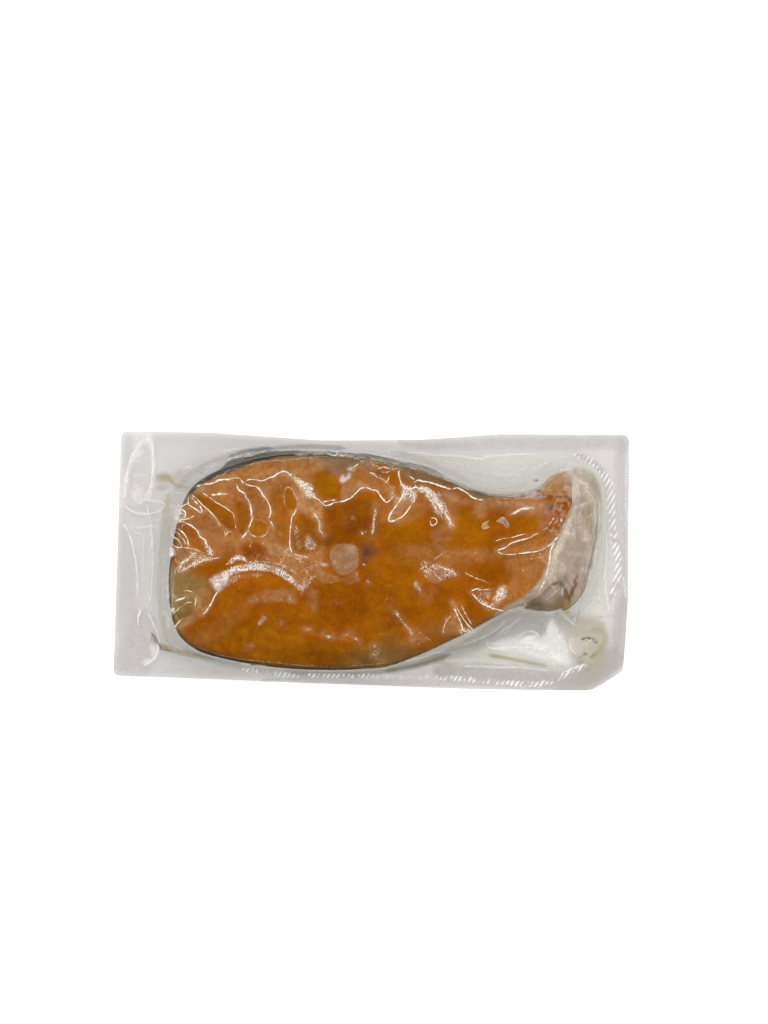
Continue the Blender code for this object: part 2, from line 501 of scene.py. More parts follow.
class Paint:
    """Colours laid over one another on a surface's points."""

    def __init__(self, x: Array, y: Array, ground: Colour, amount: float = 1.0) -> None:
        """Starts with one colour everywhere.

        Args:
            x, y: Flat arrays of places.
            ground: The first colour, linear.
            amount: How much the first colour covers.
        """
        self.x, self.y = x, y
        self.colour = np.tile(np.asarray(ground, float), (x.size, 1))
        self.amount = np.full(x.size, amount)

    def lay(self, strength: Array, colour: Colour) -> None:
        """Lays a colour over what is there: new cover is old + strength - old * strength.

        Args:
            strength: How much it covers at each place.
            colour: The colour, linear.
        """
        cover = strength + self.amount * (1.0 - strength)
        share = (strength / np.maximum(cover, 1e-6))[:, None]
        self.colour = self.colour * (1.0 - share) + np.asarray(colour) * share
        self.amount = cover

    def lay_all(self, table: str) -> None:
        """Lays each mark of a table in turn."""
        for touch in read_touches(table):
            self.lay(touch.strength(self.x, self.y), touch.colour)

    def values(self) -> Array:
        """Rows of red, green, blue and cover."""
        return np.column_stack((self.colour, self.amount))


# -------- meshes


def net_faces(rows: int, columns: int, first: int = 0, closed: bool = True) -> Array:
    """Triangles of a net of points, facing up where the rows of a closed net go outward.

    Args:
        rows: Rows of the net.
        columns: Points to a row.
        first: The number of the first point.
        closed: Whether each row closes round.

    Returns:
        Rows of three point numbers.
    """
    index = first + np.arange(rows * columns).reshape(rows, columns)
    if closed:
        index = np.column_stack((index, index[:, 0]))
    a, b, c, d = index[:-1, :-1], index[1:, :-1], index[1:, 1:], index[:-1, 1:]
    quads = np.stack((a, b, c, d), axis=-1).reshape(-1, 4)
    return np.concatenate((quads[:, (0, 1, 2)], quads[:, (0, 2, 3)]))


def new_piece(
    name: str,
    finish: Material,
    places: Sequence[Array],
    faces: Array,
    marks: dict[str, Array],
    slot: Slot | None = None,
) -> bpy.types.Object:
    """Makes a mesh object, with points that coincide welded and flat triangles dropped.

    With a slot, it rides on the pack's body and stands for its solid.

    Args:
        name: The piece's name.
        finish: Its material.
        places: Flat arrays of x, y and z in the rays' frame.
        faces: Rows of three point numbers.
        marks: Values for each point, by attribute name: rows of four for a colour, else flat.
        slot: The record's slot that it shows.

    Returns:
        The new object, linked to the scene.
    """
    points = np.column_stack(places) - FORM.shift
    keys = np.round(points / WELD_STEP).astype(np.int64)
    _, kept, merged = np.unique(keys, axis=0, return_index=True, return_inverse=True)
    faces = merged.reshape(-1)[faces]
    a, b, c = faces.T
    mesh = bpy.data.meshes.new(name)
    mesh.from_pydata(points[kept], [], faces[(a != b) & (b != c) & (c != a)])
    for key, values in marks.items():
        kind, channel = ("FLOAT_COLOR", "color") if values.ndim == 2 else ("FLOAT", "value")
        layer = mesh.attributes.new(key, kind, "POINT")
        layer.data.foreach_set(channel, values[kept].astype(np.float32).ravel())
    mesh.materials.append(finish)
    mesh.shade_smooth()
    mesh.update()
    piece = bpy.data.objects.new(name, mesh)
    bpy.context.scene.collection.objects.link(piece)
    if slot:
        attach(piece, BODY)
        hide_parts(NODE)
    LOG.info("%s: %d triangles", name, len(mesh.polygons))
    return piece


# -------- the pack's form

# The pack's corners, each x, y and radius, and places round the steak's edge, in millimetres.
PACK_CORNERS_MM = """
-102.9,53.3,2.5 -68.1,52.9,60 -20.9,49.6,60 20.1,49.8,60 52.9,52.1,60 106.2,51.9,3
105.8,-16,80 103.7,-45.5,3 90.6,-53.3,4 44.7,-52.9,60 -29.1,-50.2,80 -106,-47.2,2.5
"""
STEAK_EDGE_MM = """
-82.6,-11.9 -80.4,-25.8 -75.9,-32.8 -68.1,-37.6 -53.7,-41.2 -37.3,-43.6 -20.9,-44.5 -4.5,-44.2
9.8,-42.3 34.4,-32 57,-20.2 67.5,-18.7 78,-20 85.5,-16 91,-4.5 93.6,9 94.2,23 91.5,34 84,38.3
76,35.5 67.2,29.5 54.9,27.3 40.6,29.8 26.2,36.1 11.9,40.6 -4.5,43.5 -20.9,44.3 -37.3,43.7
-51.7,41 -64.8,35.9 -74.2,28.7 -79.1,16 -81.8,1
"""


@dataclass
class PackForm:
    """The pack's shape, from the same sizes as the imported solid.

    A ray leaves the middle line for each place of the pack's edge: straight across the pack
    beside the line, and in a fan round its two ends. u is the place round the pack, measured
    where the steak's edge is: first the upper side, then the fan at the back, the lower side
    and the fan at the belly.
    """

    back_height: float = 22.0 * MM
    belly_height: float = 16.5 * MM
    lining_height: float = 8.5 * MM
    back_end_x: float = 5.0 * MM
    belly_start_x: float = 62.0 * MM
    lining_end_x: float = 96.0 * MM
    shoulder_reach: float = 8.0 * MM
    shoulder_drop: float = 3.2 * MM
    tent_reach: float = 12.0 * MM
    tent_share: float = 0.6
    tent_steepness: float = 2.8
    rim_height: float = 1.1 * MM
    rim_curl: float = 1.3 * MM
    rim_wave: float = 0.45 * MM
    rim_wave_run: float = 11.0 * MM
    swell: float = 0.55 * MM
    line_start: tuple[float, float] = (-44.0 * MM, -1.0 * MM)
    line_end: tuple[float, float] = (78.0 * MM, 9.0 * MM)
    line_bend: float = 1.6
    back_fan: float = 40.0 * MM
    belly_fan: float = 25.0 * MM
    table_size: int = 3000
    shift: Array = field(init=False)

    def __post_init__(self) -> None:
        """Measures both outlines along a table of rays."""
        pack = rounded_outline(numbers(PACK_CORNERS_MM), math.radians(15.0))
        steak = smooth_path(numbers(STEAK_EDGE_MM) * MM, 24, closed=True)
        self.shift = np.append((pack.max(axis=0) + pack.min(axis=0)) / 2, 0.0)
        self.line_length = self.line_end[0] - self.line_start[0]
        self.girth = 2 * self.line_length + math.pi * (self.back_fan + self.belly_fan)
        self.table = np.linspace(0.0, self.girth, self.table_size, endpoint=False)
        starts, headings = self.rays(self.table)
        self.to_steak_table = reach(starts, headings, steak)
        self.to_edge_table = reach(starts, headings, pack)

    def rays(self, u: Array) -> tuple[Array, Array]:
        """Lays out the rays.

        Args:
            u: Places round the pack.

        Returns:
            Where each ray starts on the middle line, and its heading.
        """
        length = self.line_length
        lower = u - length - math.pi * self.back_fan
        parts = (u < length, lower < 0.0, lower < length)
        starts = (self.line_end[0] - u, self.line_start[0], self.line_start[0] + lower)
        x = np.select(parts, starts, self.line_end[0])
        turns = (TAU / 4, TAU / 4 + (u - length) / self.back_fan, -TAU / 4)
        turn = np.select(parts, turns, -TAU / 4 + (lower - length) / self.belly_fan)
        return np.column_stack((x, self.line_y(x))), np.column_stack((np.cos(turn), np.sin(turn)))

    def line_y(self, x: Array) -> Array:
        """The middle line's height across the pack: level, then lifting to the belly."""
        share = np.clip((x - self.line_start[0]) / self.line_length, 0.0, 1.0)
        return self.line_start[1] + share**self.line_bend * (self.line_end[1] - self.line_start[1])

    def ray_of(self, x: Array, y: Array) -> tuple[Array, Array]:
        """Finds the ray through each point.

        Args:
            x, y: Arrays of places.

        Returns:
            The ray's place round the pack, and the point's distance from the middle line.
        """
        dx = x - np.clip(x, self.line_start[0], self.line_end[0])
        dy = y - self.line_y(x)
        turn = np.arctan2(dy, dx)
        lower = self.line_length + math.pi * self.back_fan
        back = self.line_length + (turn % TAU - TAU / 4) * self.back_fan
        belly = lower + self.line_length + (turn + TAU / 4) * self.belly_fan
        sides = (back, belly, self.line_end[0] - x)
        u = np.select((dx < 0.0, dx > 0.0, dy >= 0.0), sides, lower + x - self.line_start[0])
        return u, np.hypot(dx, dy)

    def to_steak(self, u: Array) -> Array:
        """From the line to the steak's edge along each ray."""
        return np.interp(u, self.table, self.to_steak_table, period=self.girth)

    def to_edge(self, u: Array) -> Array:
        """From the line to the pack's edge along each ray."""
        return np.interp(u, self.table, self.to_edge_table, period=self.girth)

    def tent_width(self, u: Array) -> Array:
        """How far out from the steak's edge the film comes down to the rim."""
        return np.minimum(self.tent_reach, self.tent_share * (self.to_edge(u) - self.to_steak(u)))

    def at(self, u: Array, distance: Array) -> tuple[Array, Array]:
        """The place at a distance along each ray, or rows of places for rows of distances."""
        starts, headings = self.rays(u)
        return starts[:, 0] + headings[:, 0] * distance, starts[:, 1] + headings[:, 1] * distance

    def net(self, u: Array, rings: Array) -> tuple[Array, Array]:
        """The places of rings, rows of distances along the rays, as two flat arrays."""
        x, y = self.at(u, rings)
        return x.ravel(), y.ravel()

    def steak_height(self, x: Array) -> Array:
        """Works out the crown's height: thick at the back, thinner to the belly and its lining.

        Args:
            x: Places across the pack.

        Returns:
            The height at each place.
        """
        to_belly = between(self.back_end_x, self.belly_start_x, x)
        height = self.back_height + (self.belly_height - self.back_height) * to_belly
        to_lining = between(self.belly_start_x, self.lining_end_x, x)
        return height + (self.lining_height - self.belly_height) * to_lining

    def crown(self, x: Array, y: Array, from_edge: Array) -> Array:
        """Works out the film's height over the steak, rounded off towards the steak's edge.

        Args:
            x, y: Arrays of places.
            from_edge: Each place's distance in from the steak's edge.

        Returns:
            The height of each place.
        """
        rounding = np.clip(1.0 - from_edge / self.shoulder_reach, 0.0, 1.0)
        drop = self.shoulder_drop * (1.0 - np.sqrt(1.0 - 0.96 * rounding**2))
        wave = np.sin(x / (7.0 * MM) + 0.6) * np.cos(y / (6.0 * MM) - 0.4)
        return self.steak_height(x) - drop + (1.0 - 0.6 * rounding) * self.swell * wave

    def rim(self, x: Array, y: Array, outward: Array) -> Array:
        """The rim's height, curling up to its edge in slow waves."""
        wave = np.sin(x / self.rim_wave_run + 0.8) * np.cos(y / self.rim_wave_run)
        return self.rim_height + self.rim_curl * outward**2 + self.rim_wave * wave * eased(outward)

    def film(self, x: Array, y: Array) -> Array:
        """Works out the film's height: crown, then a tent falling as (1 - t) ** steepness, then
        rim.

        Args:
            x, y: Arrays of places.

        Returns:
            The height of each place.
        """
        u, distance = self.ray_of(x, y)
        to_steak, to_edge = self.to_steak(u), self.to_edge(u)
        tent_width = self.tent_width(u)
        to_foot = to_steak + tent_width
        zero = np.zeros_like(x)
        edge_height = self.crown(*self.at(u, to_steak), zero)
        foot_height = self.rim(*self.at(u, to_foot), zero)
        down = np.clip((distance - to_steak) / tent_width, 0.0, 1.0)
        tent = foot_height + (edge_height - foot_height) * (1.0 - down) ** self.tent_steepness
        outward = np.clip((distance - to_foot) / (to_edge - to_foot), 0.0, 1.0)
        height = np.where(down < 1.0, tent, self.rim(x, y, outward))
        crown = self.crown(x, y, np.maximum(to_steak - distance, 0.0))
        return np.where(distance < to_steak, crown, height)

    def stations(self, line: int, back: int, belly: int) -> Array:
        """Places round the pack that face each other across the line, so that nets close there.

        Args:
            line: Steps along each side of the line.
            back: Steps round the fan at the back.
            belly: Steps round the fan at the belly.

        Returns:
            The places, each once.
        """
        runs = (self.line_length, math.pi * self.back_fan, self.line_length, math.pi * self.belly_fan)
        ends = np.cumsum(runs)
        parts = zip(np.append(0.0, ends[:-1]), ends, (line, back, line, belly))
        return np.concatenate([np.linspace(a, b, n, endpoint=False) for a, b, n in parts])


FORM = PackForm()


# -------- folds of the film


@dataclass(frozen=True)
class FoldLook:
    """How a kind of fold stands and shows.

    half_width and rise are in millimetres; cover is how opaque its crest is, frost how strongly
    the film sparkles beside it in painted specks, veil how much it pales the film beside it, tone
    the crest's colour, pale mostly for a painted highlight and dark for painted shade, and grain
    how ragged the crest is.
    """

    half_width: float
    rise: float
    cover: float
    frost: float = 0.0
    veil: float = 0.0
    tone: Hue = Hue.WHITE
    grain: float = 1.0


class FoldKind(Enum):
    """The kinds of fold in the film."""

    # Pale crests are mostly painted highlights along the folds; the crease's dark crest is painted shade.
    SHARP = FoldLook(0.36, 0.32, 1.25, 0.24, 0.1, Hue.CREAM)
    FINE = FoldLook(0.27, 0.2, 1.0, 0.06, 0.05, Hue.PEACH_LINE)
    GLINT = FoldLook(0.7, 0.35, 1.2, 0.3, 0.08, Hue.CREAM, 0.8)
    FROSTED = FoldLook(0.85, 0.4, 0.6, 1.0, 0.14, Hue.CREAM, 1.2)
    SOFT = FoldLook(0.9, 0.3, 0.55, 0.2, 0.1, Hue.PEACH_LINE, 0.7)
    WELD = FoldLook(0.85, 0.35, 0.7, grain=0.1)
    HAIR = FoldLook(0.4, 0.2, 0.85, grain=0.2)
    PILLOW = FoldLook(1.5, 1.0, 0.55, 0.1, grain=0.2)
    CREASE = FoldLook(0.6, 0.1, 0.5, tone=Hue.SHADE, grain=0.3)


@dataclass(frozen=True)
class Fold:
    """One fold: its look, its strength and the route that its crest takes."""

    look: FoldLook
    strength: float
    route: str

    def path(self, spacing: float) -> Array:
        """The crest in metres, spaced evenly."""
        return evenly_along(smooth_path(PHOTO.route(self.route), 8, closed=False), spacing)


def read_folds(table: str) -> list[Fold]:
    """Reads a table of folds.

    Args:
        table: The rows, under lines of one word that name the kind of those below.

    Returns:
        A fold for each row, in their order.
    """
    folds, kind = [], FoldKind.SHARP
    for first, *places in rows_of(table):
        if places:
            folds.append(Fold(kind.value, float(first), " ".join(places)))
        else:
            kind = FoldKind[first.upper()]
    return folds


# The folds over the flesh, and those out in the film. Most pale crests are painted highlights, a few are
# pale flecks, and a crease's dark crest is painted shade.
FLESH_FOLDS = """
sharp
.9 198,487 205,485 210,484 215,483 219,481 222,480 230,480 236,479 241,479 244,482 247,483
1 247,482 250,480 256,480 262,481 267,480 271,478 275,477 279,474 284,472 289,473 294,477
.95 238,485 240,490 243,492 246,494 248,498 251,503 252,508 253,514 254,519 252,524 250,529 248,533 243,538
1.1 246,484 251,486 257,487 261,490 264,495 267,499 270,504 272,509 272,514 270,519
.7 271,520 273,524 275,529
.9 190,496 190,504 194,507 198,509 202,512 204,511 203,508 201,505
.7 193,497 197,501 201,505
1 191,503 186,506 182,509
1 179,512 182,509 186,510 188,514 186,518 181,520 178,517 179,512
.8 176,507 179,505 182,507
.8 184,521 188,519 193,518
.8 172,530 177,528 182,530 187,534 190,540 191,547
.95 180,521 186,522 191,524 196,527 200,531 202,536 207,540 208,543 211,547 212,551 215,556
1.1 222,588 219,592 216,597 213,603 210,608 205,614
.75 298,507 296,512 293,518 292,526 291,533 291,540 292,548 294,553
1 312,496 318,499 322,502 325,505 330,505 334,503 340,502 346,500 351,498 354,495 358,491 361,489 367,488
  372,490 377,491 380,495 383,499 387,502 391,499 394,496
.7 323,502 330,501 338,500
.9 399,470 399,477 401,483 405,489
1 405,491 401,498 396,506 391,513 389,519 391,521 397,519 402,516 407,511 411,504 414,500 412,494 409,491
.8 404,488 410,489 415,488 420,489
.95 414,484 415,482 418,481 423,482 430,483 437,485 444,487 450,489 457,488 461,490 466,493 471,497 477,499
  483,500
.8 409,476 412,479 415,481
.7 414,484 416,487 420,488
.9 496,551 500,549 505,547 510,543 515,541 520,540 527,538 533,535 538,533
.65 542,531 547,527 550,522 552,519 554,515
.9 496,551 500,553 506,554 512,554 520,553 528,552 536,551 543,549 550,544 554,540 558,536
.95 471,592 475,597 480,602 485,605 491,607 498,609 504,611
.8 453,607 456,612 459,619 461,626 463,630 468,631
.8 555,541 551,548 549,556 548,563 546,570 544,577
.7 544,579 541,586 536,594
.7 470,591 475,589 481,588
fine
1 204,493 210,497 217,502 222,505 228,508 232,511 235,514 236,518 237,524 238,529
1.1 193,495 198,499 203,504 208,508 214,514 219,520 222,525 226,530 227,534 227,538
.9 227,538 229,535 230,532 234,532 237,532
.9 173,533 177,538 180,540 183,544 184,547 180,547 176,545 175,542
1 184,547 190,548 195,549 201,551 205,553
1 181,570 184,563 190,559 195,554 192,551
.9 182,570 189,568 196,564 204,561 212,559 222,557
.45 250,528 253,522 260,520 267,523 270,529 266,535 258,537 252,534 250,528
1 176,532 180,533 183,537 186,540 188,545
.9 177,512 174,516 175,521 179,523 184,521
.6 188,519 193,518 197,515
.7 184,590 191,590 196,593 198,597 198,602 197,607
.7 173,615 178,610 183,606 188,602 195,601
.8 176,627 180,622 186,617
.7 285,492 288,488 292,489 295,494 298,500 298,506
.4 285,492 285,500 287,508
.9 294,553 299,555 305,556 310,557
.35 307,496 311,503 316,511 319,516
.9 369,474 373,474 377,478 381,479 385,481 388,484
.9 378,470 384,468 392,470 398,468
.8 380,472 386,473 390,471
.7 362,465 363,462 366,461
.7 373,463 374,467
.7 384,484 388,480 389,476
.8 350,468 354,467 360,464
.6 347,470 352,471 356,472
.8 494,541 500,539 507,538 513,537 520,535 526,534
1.1 456,607 460,614 464,620 469,626 474,631
.9 460,603 463,610 467,617 471,624
1 451,614 446,620 443,627 442,633
.3 248,602 262,597 276,597 290,601 300,596
.9 464,572 472,576 478,579 484,581 489,584
.45 433,560 438,556 443,551
1 437,566 445,568 452,571 456,574
.8 429,570 435,574 441,579
.6 424,565 430,569 436,572
1 421,489 429,493 435,500 440,508 442,514
.9 430,492 437,499 442,506
.7 436,501 444,507
.8 435,507 440,515 442,521
.9 444,512 448,519 452,526
1.1 430,519 433,518 436,520 435,524 431,525 430,519
.6 476,590 483,589 491,589
.6 357,571 357,576 359,580
.3 322,581 332,582 340,580 350,583 359,580
.5 530,556 535,554 541,555
.4 528,559 536,558 543,557
.45 520,489 532,490 540,489 550,491 558,493 567,495
.5 553,501 560,499 567,498
.8 505,610 512,609 516,611
.5 472,551 475,553 475,550
.5 444,557 447,556 449,558
.25 345,522 348,527 353,528
.3 490,503 496,506 503,507
.3 500,504 508,506 518,505
.5 251,548 253,542
.4 264,546 265,541
.4 271,545 272,540
.4 282,532 285,537
.3 385,602 387,598 391,597
glint
.6 211,494 216,495 221,494 226,494 231,495
.8 202,489 204,490
.85 175,602 180,599 184,598 189,595
.7 361,530 363,534 365,532
.3 341,480 344,480 348,478 350,476
.4 334,560 334,563
.7 523,602 525,604 524,607
.8 173,606 176,608 174,612
.8 225,577 231,571 238,568 244,569 250,567
.6 509,515 515,512 520,509 527,508 532,507
.4 557,519 560,518 561,522 558,523
.6 555,541 558,537
.35 262,620 266,617
frosted
1 298,481 303,487 305,491 309,495 314,496
.6 284,473 290,474 296,479 300,484
.6 182,568 184,563 189,560 193,557 197,553
.7 182,569 188,568 193,565 199,562 205,560 212,558
.5 207,541 210,547 213,552 214,557
.9 403,487 407,491 404,497
.8 410,489 414,495 413,500
1.1 420,489 427,491 432,495 436,501 440,507 443,512
.9 427,495 432,501 435,508 438,513
.8 444,513 448,519 451,526
.6 438,567 446,569 455,573
.35 421,569 430,574 438,578
.9 503,587 499,593 494,599
.8 505,590 500,597 495,603
.7 494,603 488,606 482,602
.4 473,590 478,596 483,603
.4 518,510 524,508 531,508
.6 391,489 393,494 396,498
.5 452,602 454,609 458,616
.7 462,629 468,630 474,632
soft
1.1 312,511 317,517 320,523 321,530 325,535
.7 392,607 396,612 401,619 407,626 411,632 412,638
.8 324,633 330,636 334,635
.8 343,636 348,633 352,632
.7 352,635 358,639 359,642
.5 305,628 311,628
.9 376,505 375,513 374,521 373,529 372,537
.9 360,484 362,488
.6 306,489 314,496 320,502
.9 417,583 419,588 422,593
.6 426,600 428,597
.7 250,645 253,644
.8 371,647 374,645 378,648
.7 373,655 375,655
.7 382,661 384,660
.6 513,583 513,588
"""
FILM_FOLDS = """
weld
1.2 150,437 151,446 152,456 152,466 151,475 150,485 148,497
1.1 144,440 136,448 131,457 128,466 126,475 124,488 122,502
.5 131,460 137,462 144,460
.6 129,474 137,476 146,473
.4 141,469 147,472 150,477
.5 131,486 137,486 141,485
.4 131,491 138,489 145,484
.8 148,490 144,495 142,502 133,506
.9 121,502 126,508 133,512 143,514 150,514 158,511 163,507 162,503 154,501 145,500 134,501
.6 151,502 156,505 163,505
.8 146,502 148,516 150,530 151,544
.5 131,529 136,533 144,534 150,533
1 120,521 124,527 128,534 131,545 133,555 135,565 136,578 136,590 135,600
.5 142,534 142,550 142,570 142,590
.7 151,530 151,560 150,590 148,600 147,608
.45 147,612 150,620 154,628 158,636
.7 131,526 138,528 146,527 157,526
1.3 140,606 139,612 137,618 137,624 139,629
.8 146,610 150,620 154,630 158,641 162,648
1.5 155,641 157,648 156,654 152,660 146,664 140,665
.9 138,666 145,665 151,661
.6 167,585 168,592 168,600 171,606
1 168,612 169,620 173,627
.6 157,552 157,558 160,565
.7 171,491 176,492 184,494 190,493
.6 172,507 178,503
.4 216,452 232,449 245,448 262,447
.9 264,451 270,451
.6 229,453 235,453 240,452
.5 380,450 395,453 405,457
.9 405,451 420,453 440,455 460,456 480,458 490,457
.7 480,457 500,455 520,454 540,453
.6 505,475 512,472
.5 515,474 525,468 533,467
.6 572,455 580,459 590,465 598,473 604,482
.35 612,487 613,495 612,505
.8 600,498 600,520 598,540 594,560 589,580 585,595
.6 594,500 595,520 593,540 588,562 584,578
.5 606,505 606,530 603,560 600,585 600,605
1 541,611 548,614 553,612 560,610 563,614 566,618 572,623 578,628
.9 575,616 576,620 574,625
1.4 552,619 550,625 549,631 547,637
.9 552,619 556,626 559,634 562,642 566,650
.9 490,638 488,643 489,648 493,649 502,649 515,648 530,648 545,650
1 516,640 522,635 530,632 537,634 541,640
.8 512,645 520,641 530,640 538,643
.8 545,641 549,647 555,652 560,659
.7 523,652 533,654 543,658 552,662
.6 541,652 548,656 553,661
.7 497,638 503,632 511,626 518,620 524,616
.9 566,665 569,662
1.2 563,674 570,671 576,668 584,666 590,663
.7 402,661 410,659 420,657 430,654 440,652 450,650
.6 440,661 455,661 470,661 480,660
.5 425,664 440,666 455,665
.7 452,648 462,645 475,641 487,636 497,630 505,622 510,614
.5 500,640 507,633 514,624 519,617
1.6 258,681 270,681 285,681
.9 282,677 288,681 300,680
.8 436,686 442,685
.6 260,674 268,675 276,675
.5 120,440 119,480 118,520
hair
1 176,530 173,529 172,533 176,537
.9 326,452 330,455 336,456 338,453 333,451 328,451
.9 339,453 341,456 345,456 347,454 343,451
.7 378,455 390,457 400,460
.6 570,461 580,464 588,468 595,475 600,483
.9 608,530 608,560 606,580 608,600 611,617
.4 604,530 603,560 602,580
.9 625,575 626,590 628,600
.4 627,540 625,560
.6 589,493 587,500 583,505 577,507 574,506
.6 583,489 590,494 595,503 594,512 588,517 583,516
.8 462,667 480,667 500,668 513,668 525,669 540,670 552,672
.6 556,672 555,666 551,661
.5 173,496 177,502
.7 242,457 250,456 258,454
.5 236,461 246,458
glint
.5 572,641 571,646 573,651 577,654 580,654
.35 218,654 220,654
.4 588,497 590,500
pillow
.8 562,628 563,636 566,645 568,652 569,660
1 512,645 525,643 540,645 552,650 560,656
crease
1.3 150,632 155,640 159,647 162,650 168,651 173,651
.6 163,636 168,643 172,649
1.1 173,651 185,652 200,655 215,659 225,661
1 222,464 228,461 234,459 238,458
1.1 240,456 250,454 258,452
.5 581,617 600,617 621,616
.45 541,618 542,630 542,642 542,650
.4 545,622 546,632 545,640
.4 626,637 620,645 614,655
.6 470,664 490,665 507,666
.5 487,659 497,658
.5 538,666 550,668
.5 551,616 559,620 567,622 575,627
.5 582,585 581,600 580,612 578,624
.4 470,484 485,488 505,488 525,487
.5 172,486 178,487 186,487
.5 430,656 450,652 470,645 490,637 505,628
.5 398,663 415,661 440,654 455,648
.25 600,488 602,510 603,530 601,548
"""

ALL_FOLDS = read_folds(FLESH_FOLDS + FILM_FOLDS)


@dataclass(frozen=True)
class FoldedFilm:
    """The film's height with its folds, and the marks that they leave on it.

    path_spacing is how finely a fold is followed, and spread how much wider than its crest it
    lifts the film.
    """

    path_spacing: float = 0.9 * MM
    spread: float = 1.7
    unevenness: float = 0.1 * MM

    def rise(self, x: Array, y: Array) -> Array:
        """Works out how far the folds lift the film: a bell across each crest, dying out at its
        ends.

        Args:
            x, y: Flat arrays of places.

        Returns:
            The lift at each place.
        """
        lift = np.zeros_like(x)
        for fold in ALL_FOLDS:
            half = self.spread * fold.look.half_width * MM
            path = fold.path(self.path_spacing)
            near, distance, along = path_distance(x, y, path, 3.0 * half)
            ends = eased(np.minimum(along, length_of(path) - along) / (2.0 * half) + 0.1)
            bell = np.exp(-((distance / half) ** 2)) * ends * fold.look.rise * MM * fold.strength
            lift[near] = np.maximum(lift[near], bell)
        return lift

    def height(self, x: Array, y: Array) -> Array:
        """The folded film's height, with faint unevenness everywhere."""
        uneven = self.unevenness * rough_noise(x, y, 5.0 * MM, seed=11)
        return FORM.film(x, y) + self.rise(x, y) + uneven

    def beside(self, x: Array, y: Array, trait: str, spread: float) -> Array:
        """How strongly one trait of the folds shows beside them.

        It is trait * strength * exp(-(distance / reach) ** 2), with a reach of the spread and 1.4
        half widths.

        Args:
            x, y: Flat arrays of places.
            trait: The name of the fold look's number: frost or veil.
            spread: In metres.

        Returns:
            The strength at each place, from 0 to a little over 1.
        """
        total = np.zeros_like(x)
        for fold in ALL_FOLDS:
            amount = getattr(fold.look, trait) * fold.strength
            if amount > 0.0:
                reach_out = spread + 1.4 * fold.look.half_width * MM
                path = fold.path(self.path_spacing)
                near, distance, _ = path_distance(x, y, path, 2.2 * reach_out)
                bell = amount * np.exp(-((distance / reach_out) ** 2))
                total[near] = np.maximum(total[near], bell)
        return total


FILM_FORM = FoldedFilm()


# -------- shader maths

SMOOTH = {"interpolation_type": "SMOOTHSTEP"}


def operator(operation: str, swapped: bool = False) -> Callable[..., "Value"]:
    """Makes a method of Value that puts one Math node to work.

    Args:
        operation: The node's operation.
        swapped: Whether the other value comes first.

    Returns:
        The method.
    """

    def method(self: "Value", *others: Any) -> "Value":
        """The operation on this value and the others."""
        return self.shader.math(operation, *((*others, self) if swapped else (self, *others)))

    return method


class Value:
    """A socket that carries numbers, so that sums of patterns read as Python."""

    __add__ = __radd__ = operator("ADD")
    __sub__, __rsub__ = operator("SUBTRACT"), operator("SUBTRACT", swapped=True)
    __mul__ = __rmul__ = operator("MULTIPLY")
    __pow__, __rpow__ = operator("POWER"), operator("POWER", swapped=True)
    __abs__ = operator("ABSOLUTE")
    at_most, at_least = operator("MINIMUM"), operator("MAXIMUM")

    def __init__(self, shader: "Shader", socket: Socket) -> None:
        """Keeps the socket and the shader that it belongs to."""
        self.shader, self.socket = shader, socket

    def clamped(self) -> "Value":
        """Held between 0 and 1."""
        return self.at_least(0.0).at_most(1.0)

    def between(self, low: Any, high: Any) -> "Value":
        """0 up to low and 1 past high, with a smooth step."""
        inputs = {"Value": self, "From Min": low, "From Max": high}
        return self.shader.value("ShaderNodeMapRange", SMOOTH, inputs, "Result")


class NodeTree:
    """A node tree under construction."""

    def __init__(self, tree: bpy.types.NodeTree) -> None:
        """Keeps the tree's nodes and links."""
        self.nodes, self.links = tree.nodes, tree.links

    def node(self, kind: str, settings: dict[str, Any], inputs: dict[Any, Any]) -> bpy.types.Node:
        """Makes one node.

        Args:
            kind: The node's type.
            settings: Its own properties, set first.
            inputs: Values or links for its sockets, by name or number.

        Returns:
            The node.
        """
        made = self.nodes.new(kind)
        for key, value in settings.items():
            setattr(made, key, value)
        for key, value in inputs.items():
            self.feed(made.inputs[key], value)
        return made

    def feed(self, socket: Socket, value: Any) -> None:
        """Sets a socket, or links it.

        Args:
            socket: The socket.
            value: A number, a colour or vector, another socket or a Value.
        """
        if isinstance(value, Value):
            value = value.socket
        if isinstance(value, Socket):
            self.links.new(value, socket)
        elif isinstance(value, tuple) and len(value) == 3 and socket.type == "RGBA":
            socket.default_value = (*value, 1.0)
        else:
            socket.default_value = value


